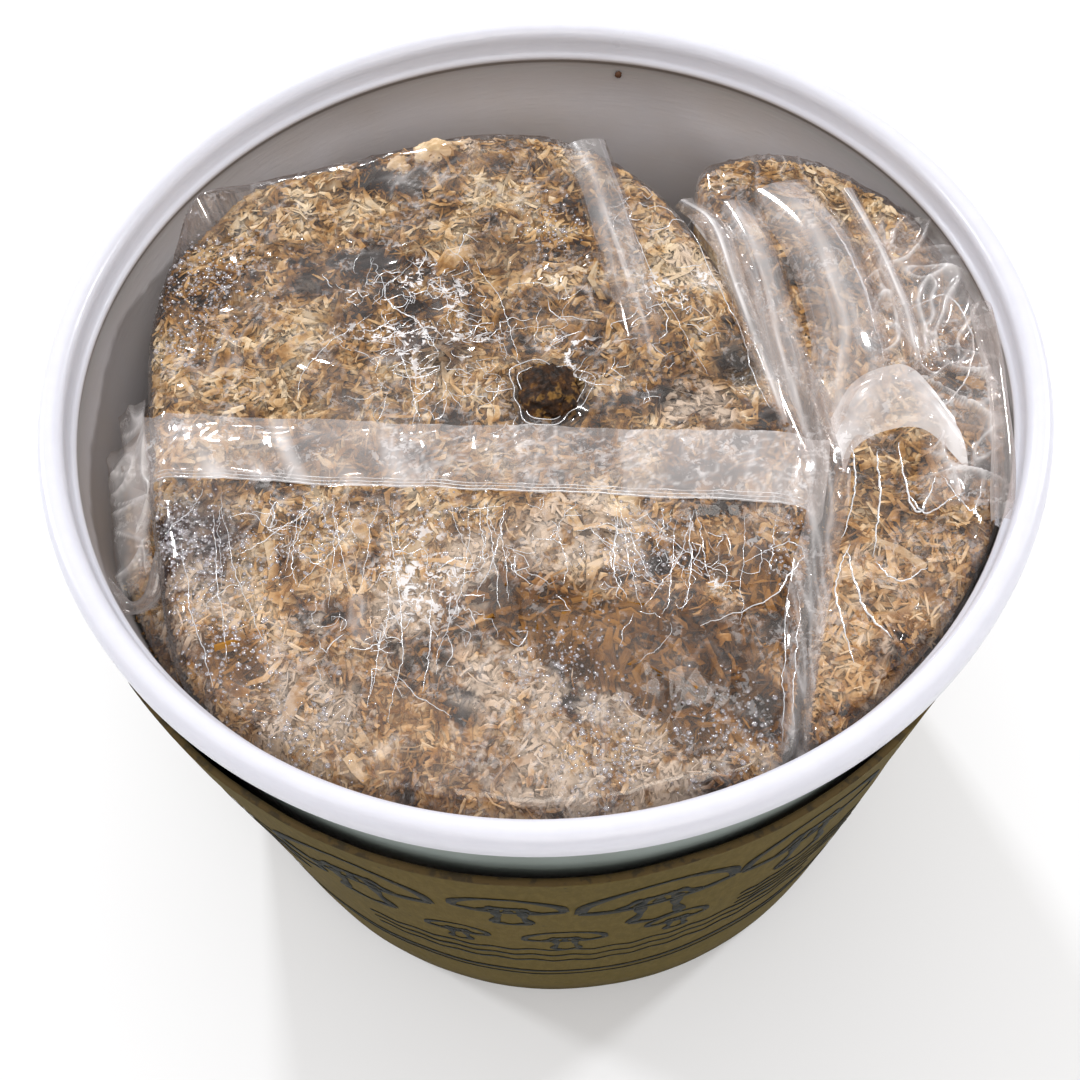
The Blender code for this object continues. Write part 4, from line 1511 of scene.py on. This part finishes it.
class GROWKIT_OT_creases(KitOperator, bpy.types.Operator):
    """Draw the sharp bright creases of the films"""
    bl_idname = "growkit.creases"
    bl_label = "Bright Creases"

    def long_creases(self):
        """Creases that run in one line, in plan millimetres."""
        return [
            [(-88, -40), (-82, -62), (-74, -80)], [(-90, -40), (-86, -62), (-84, -84)],
            [(-98, -50), (-92, -74), (-86, -90)], [(-62, -38), (-72, -48), (-84, -56)],
            [(-52, -44), (-58, -56), (-66, -66)], [(-66, -42), (-68, -54), (-66, -64)],
            [(-44, -43), (-42, -62), (-41, -84), (-44, -102)], [(-42, -60), (-44, -80), (-47, -98)],
            [(-22, -44), (-22, -60), (-28, -78), (-30, -92)], [(-32, -64), (-34, -80), (-36, -94)],
            [(-12, -45), (-14, -56), (-18, -68)], [(4, -46), (2, -54), (6, -62)],
            [(18, -48), (16, -60), (18, -70)], [(26, -48), (36, -60), (46, -66)],
            [(34, -50), (30, -72), (26, -80)], [(36, -82), (52, -74), (66, -60), (62, -56), (50, -62)],
            [(60, -72), (56, -92), (54, -112)], [(63, -72), (59, -92), (57, -112)],
            [(-48, 26), (-58, 18), (-66, 8), (-70, -4)], [(-46, 40), (-44, 30), (-36, 22), (-30, 10)],
            [(-42, 22), (-40, 8), (-36, -6), (-35, -14)], [(-18, 46), (-10, 30), (-6, 12), (-4, 0)],
            [(24, 80), (30, 50), (38, 20), (46, -4)], [(48, 60), (54, 30), (60, 6), (64, -16)],
        ]

    def right_creases(self):
        """The same on the right bag."""
        return [
            [(83, -31), (83, -42), (77, -58)], [(89, -34), (88, -46), (83, -64)],
            [(95, -32), (96, -54), (104, -43)], [(105, -42), (110, -55), (116, -45)],
            [(77, -62), (79, -80), (85, -89)], [(95, -46), (98, -54), (110, -49)],
            [(78, -60), (73, -72), (73, -94)], [(105, 14), (119, 20), (124, 2), (117, -16), (105, -26)],
            [(107, 6), (108, -8), (118, -5)], [(90, 52), (96, 30), (98, 8)], [(84, -66), (90, -72), (98, -70)],
        ]

    def squiggles(self, draw, count, area, spread, length, rise):
        """Short wandering creases about places in area."""
        found = []
        for _ in range(count):
            centre = area[draw.integers(len(area))]
            x, y = (np.array(centre) + draw.normal(0, 1, 2) * spread) * MM
            heading = draw.normal(-pi / 2, 0.9)
            steps = int(draw.uniform(*length))
            path = [(x, y)]
            for _ in range(steps):
                heading += draw.normal(0, 0.35)
                if draw.random() < 0.22:
                    heading += draw.choice((-1, 1)) * draw.uniform(0.8, 2.2)
                x, y = x + cos(heading) * 0.0011, y + sin(heading) * 0.0011
                path.append((x, y))
            path = np.array(path)
            found.append(on_film(path[:, 0], path[:, 1], rise))
        return found

    def build(self, scene):
        draw = np.random.default_rng(scene.grow_kit_film.seed)
        paths, widths = [], []
        for line in self.long_creases():
            path = smooth_path(line, 12 * len(line)) * MM
            path += np.cumsum(draw.normal(0, 0.00022, path.shape), axis=0)
            paths.append(on_film(path[:, 0], path[:, 1], 0.0003))
            widths.append(draw.uniform(0.00022, 0.00045))
        for x in draw.uniform(-98, 62, 26):
            drift, reach = draw.normal(0, 5), draw.uniform(8, 34)
            top = seal_line(x * MM) / MM - 3
            line = [(x, top), (x + drift * 0.4, top - reach * 0.5), (x + drift, top - reach)]
            path = smooth_path(line, 30) * MM
            path += np.cumsum(draw.normal(0, 0.00024, path.shape), axis=0)
            paths.append(on_film(path[:, 0], path[:, 1], 0.0003))
            widths.append(draw.uniform(0.00018, 0.00038))
        turns = np.linspace(0, 2 * pi, 60)
        for reach in (HOLE_RADIUS * 1.12, HOLE_RADIUS * 1.4):
            ragged = reach * (1 + 0.15 * np.sin(3 * turns + 1) + 0.05 * np.sin(8 * turns))
            paths.append(on_film(HOLE[0] + ragged * np.cos(turns), HOLE[1] + ragged * np.sin(turns), 0.0004))
            widths.append(0.0004)
        for line in self.right_creases():
            path = smooth_path(line, 10 * len(line)) * MM
            path += np.cumsum(draw.normal(0, 0.00018, path.shape), axis=0)
            height = right_film_height(path[:, 0], path[:, 1]) + 0.0004
            paths.append(np.column_stack([path, height]))
            widths.append(draw.uniform(0.0004, 0.0007))
        rear = [(-48, 34), (-38, 38), (-30, 42), (-24, 30), (-34, 18), (-20, 16), (-12, 20), (-26, 4),
                (-36, -2), (2, 24), (14, 10), (40, 10), (44, 34), (-44, 8), (-14, -4), (30, 60)]
        front = [(-50, -56), (-40, -70), (-30, -60), (-16, -56), (4, -56), (-34, -90), (30, -62), (38, -68),
                 (28, -76), (-60, -80), (-20, -80), (46, -58), (-70, -52), (16, -58)]
        paths += self.squiggles(draw, 130, rear, 6.5, (5, 20), 0.0003)
        paths += self.squiggles(draw, 90, front, 7.0, (5, 18), 0.0003)
        widths += list(draw.uniform(0.00014, 0.00036, 220))
        points, faces = sweep(paths, widths)
        add_piece("film_creases", points, faces, crease_finish(), "clear_film")


class GROWKIT_OT_droplets(KitOperator, bpy.types.Operator):
    """Bead the main bag's film with condensation"""
    bl_idname = "growkit.droplets"
    bl_label = "Condensation"

    def build(self, scene):
        draw = np.random.default_rng(scene.grow_kit_film.seed + 5)
        fields = [((-98, 44), 9, 420), ((-100, 22), 6, 160), ((-102, -46), 7, 420), ((-90, -58), 8, 420),
                  ((-84, -80), 8, 260), ((-66, -104), 10, 240), ((4, 56), 6, 150), ((0, -92), 8, 260),
                  ((12, -112), 8, 320), ((22, -58), 7, 260), ((40, -112), 8, 220), ((66, -60), 5, 160),
                  ((-60, -50), 9, 220), ((-30, -48), 9, 160)]
        places, sizes = [], []
        for centre, spread, count in fields:
            places.append(np.array(centre) + draw.normal(0, 1, (count, 2)) * spread)
            sizes.append(np.clip(draw.lognormal(-1.15, 0.42, count), 0.12, 0.85))
        plan, size = np.concatenate(places) * MM, np.concatenate(sizes) * MM
        keep = MAIN.holds(plan[:, 0], plan[:, 1]) & (MAIN.inside(plan[:, 0], plan[:, 1]) > 0.002)
        plan, size = plan[keep], size[keep]
        base = on_film(plan[:, 0], plan[:, 1], -0.00005)
        turns = np.linspace(0, 2 * pi, 6, endpoint=False)
        ring = np.column_stack([np.cos(turns), np.sin(turns), 0 * turns])
        dome = np.concatenate([ring, ring * 0.72 + (0, 0, 0.42), [[0, 0, 0.62]]])
        points = (base[:, None] + dome[None] * size[:, None, None]).reshape(-1, 3)
        pattern = [(i, (i + 1) % 6, 6 + (i + 1) % 6, 6 + i) for i in range(6)]
        caps = [(6 + i, 6 + (i + 1) % 6, 12) for i in range(6)]
        faces = []
        for k in range(len(base)):
            faces += [[i + 13 * k for i in f] for f in (*pattern, *caps, tuple(range(5, -1, -1)))]
        add_piece("condensation_beads", points, faces, droplet_finish(), "clear_film")


PIECES = (GROWKIT_OT_tub, GROWKIT_OT_sleeve, GROWKIT_OT_print, GROWKIT_OT_blocks, GROWKIT_OT_straw,
          GROWKIT_OT_growth,
          GROWKIT_OT_films, GROWKIT_OT_fins, GROWKIT_OT_folds, GROWKIT_OT_creases, GROWKIT_OT_droplets,
          GROWKIT_OT_stage)
GROUPS = {"grow_kit_tub": GrowKitTub, "grow_kit_sleeve": GrowKitSleeve, "grow_kit_straw": GrowKitStraw,
          "grow_kit_film": GrowKitFilm, "grow_kit_stage": GrowKitStage}


class GROWKIT_PT_panel(bpy.types.Panel):
    bl_idname = "GROWKIT_PT_panel"
    bl_label = "Grow Kit"
    bl_space_type = "VIEW_3D"
    bl_region_type = "UI"
    bl_category = "Grow Kit"

    def draw(self, context):
        for piece in PIECES:
            self.layout.operator(piece.bl_idname)
        for name, group in GROUPS.items():
            box = self.layout.box()
            for key in group.__annotations__:
                box.prop(getattr(context.scene, name), key)


def register():
    for made in (*GROUPS.values(), *PIECES, GROWKIT_PT_panel):
        bpy.utils.register_class(made)
    for name, group in GROUPS.items():
        setattr(bpy.types.Scene, name, PointerProperty(type=group))


def unregister():
    for name in GROUPS:
        delattr(bpy.types.Scene, name)
    for made in (GROWKIT_PT_panel, *reversed(PIECES), *reversed(GROUPS.values())):
        bpy.utils.unregister_class(made)


def main():
    register()
    for piece in PIECES:
        area, name = piece.bl_idname.split(".")
        getattr(getattr(bpy.ops, area), name)()


if __name__ == "__main__":
    main()
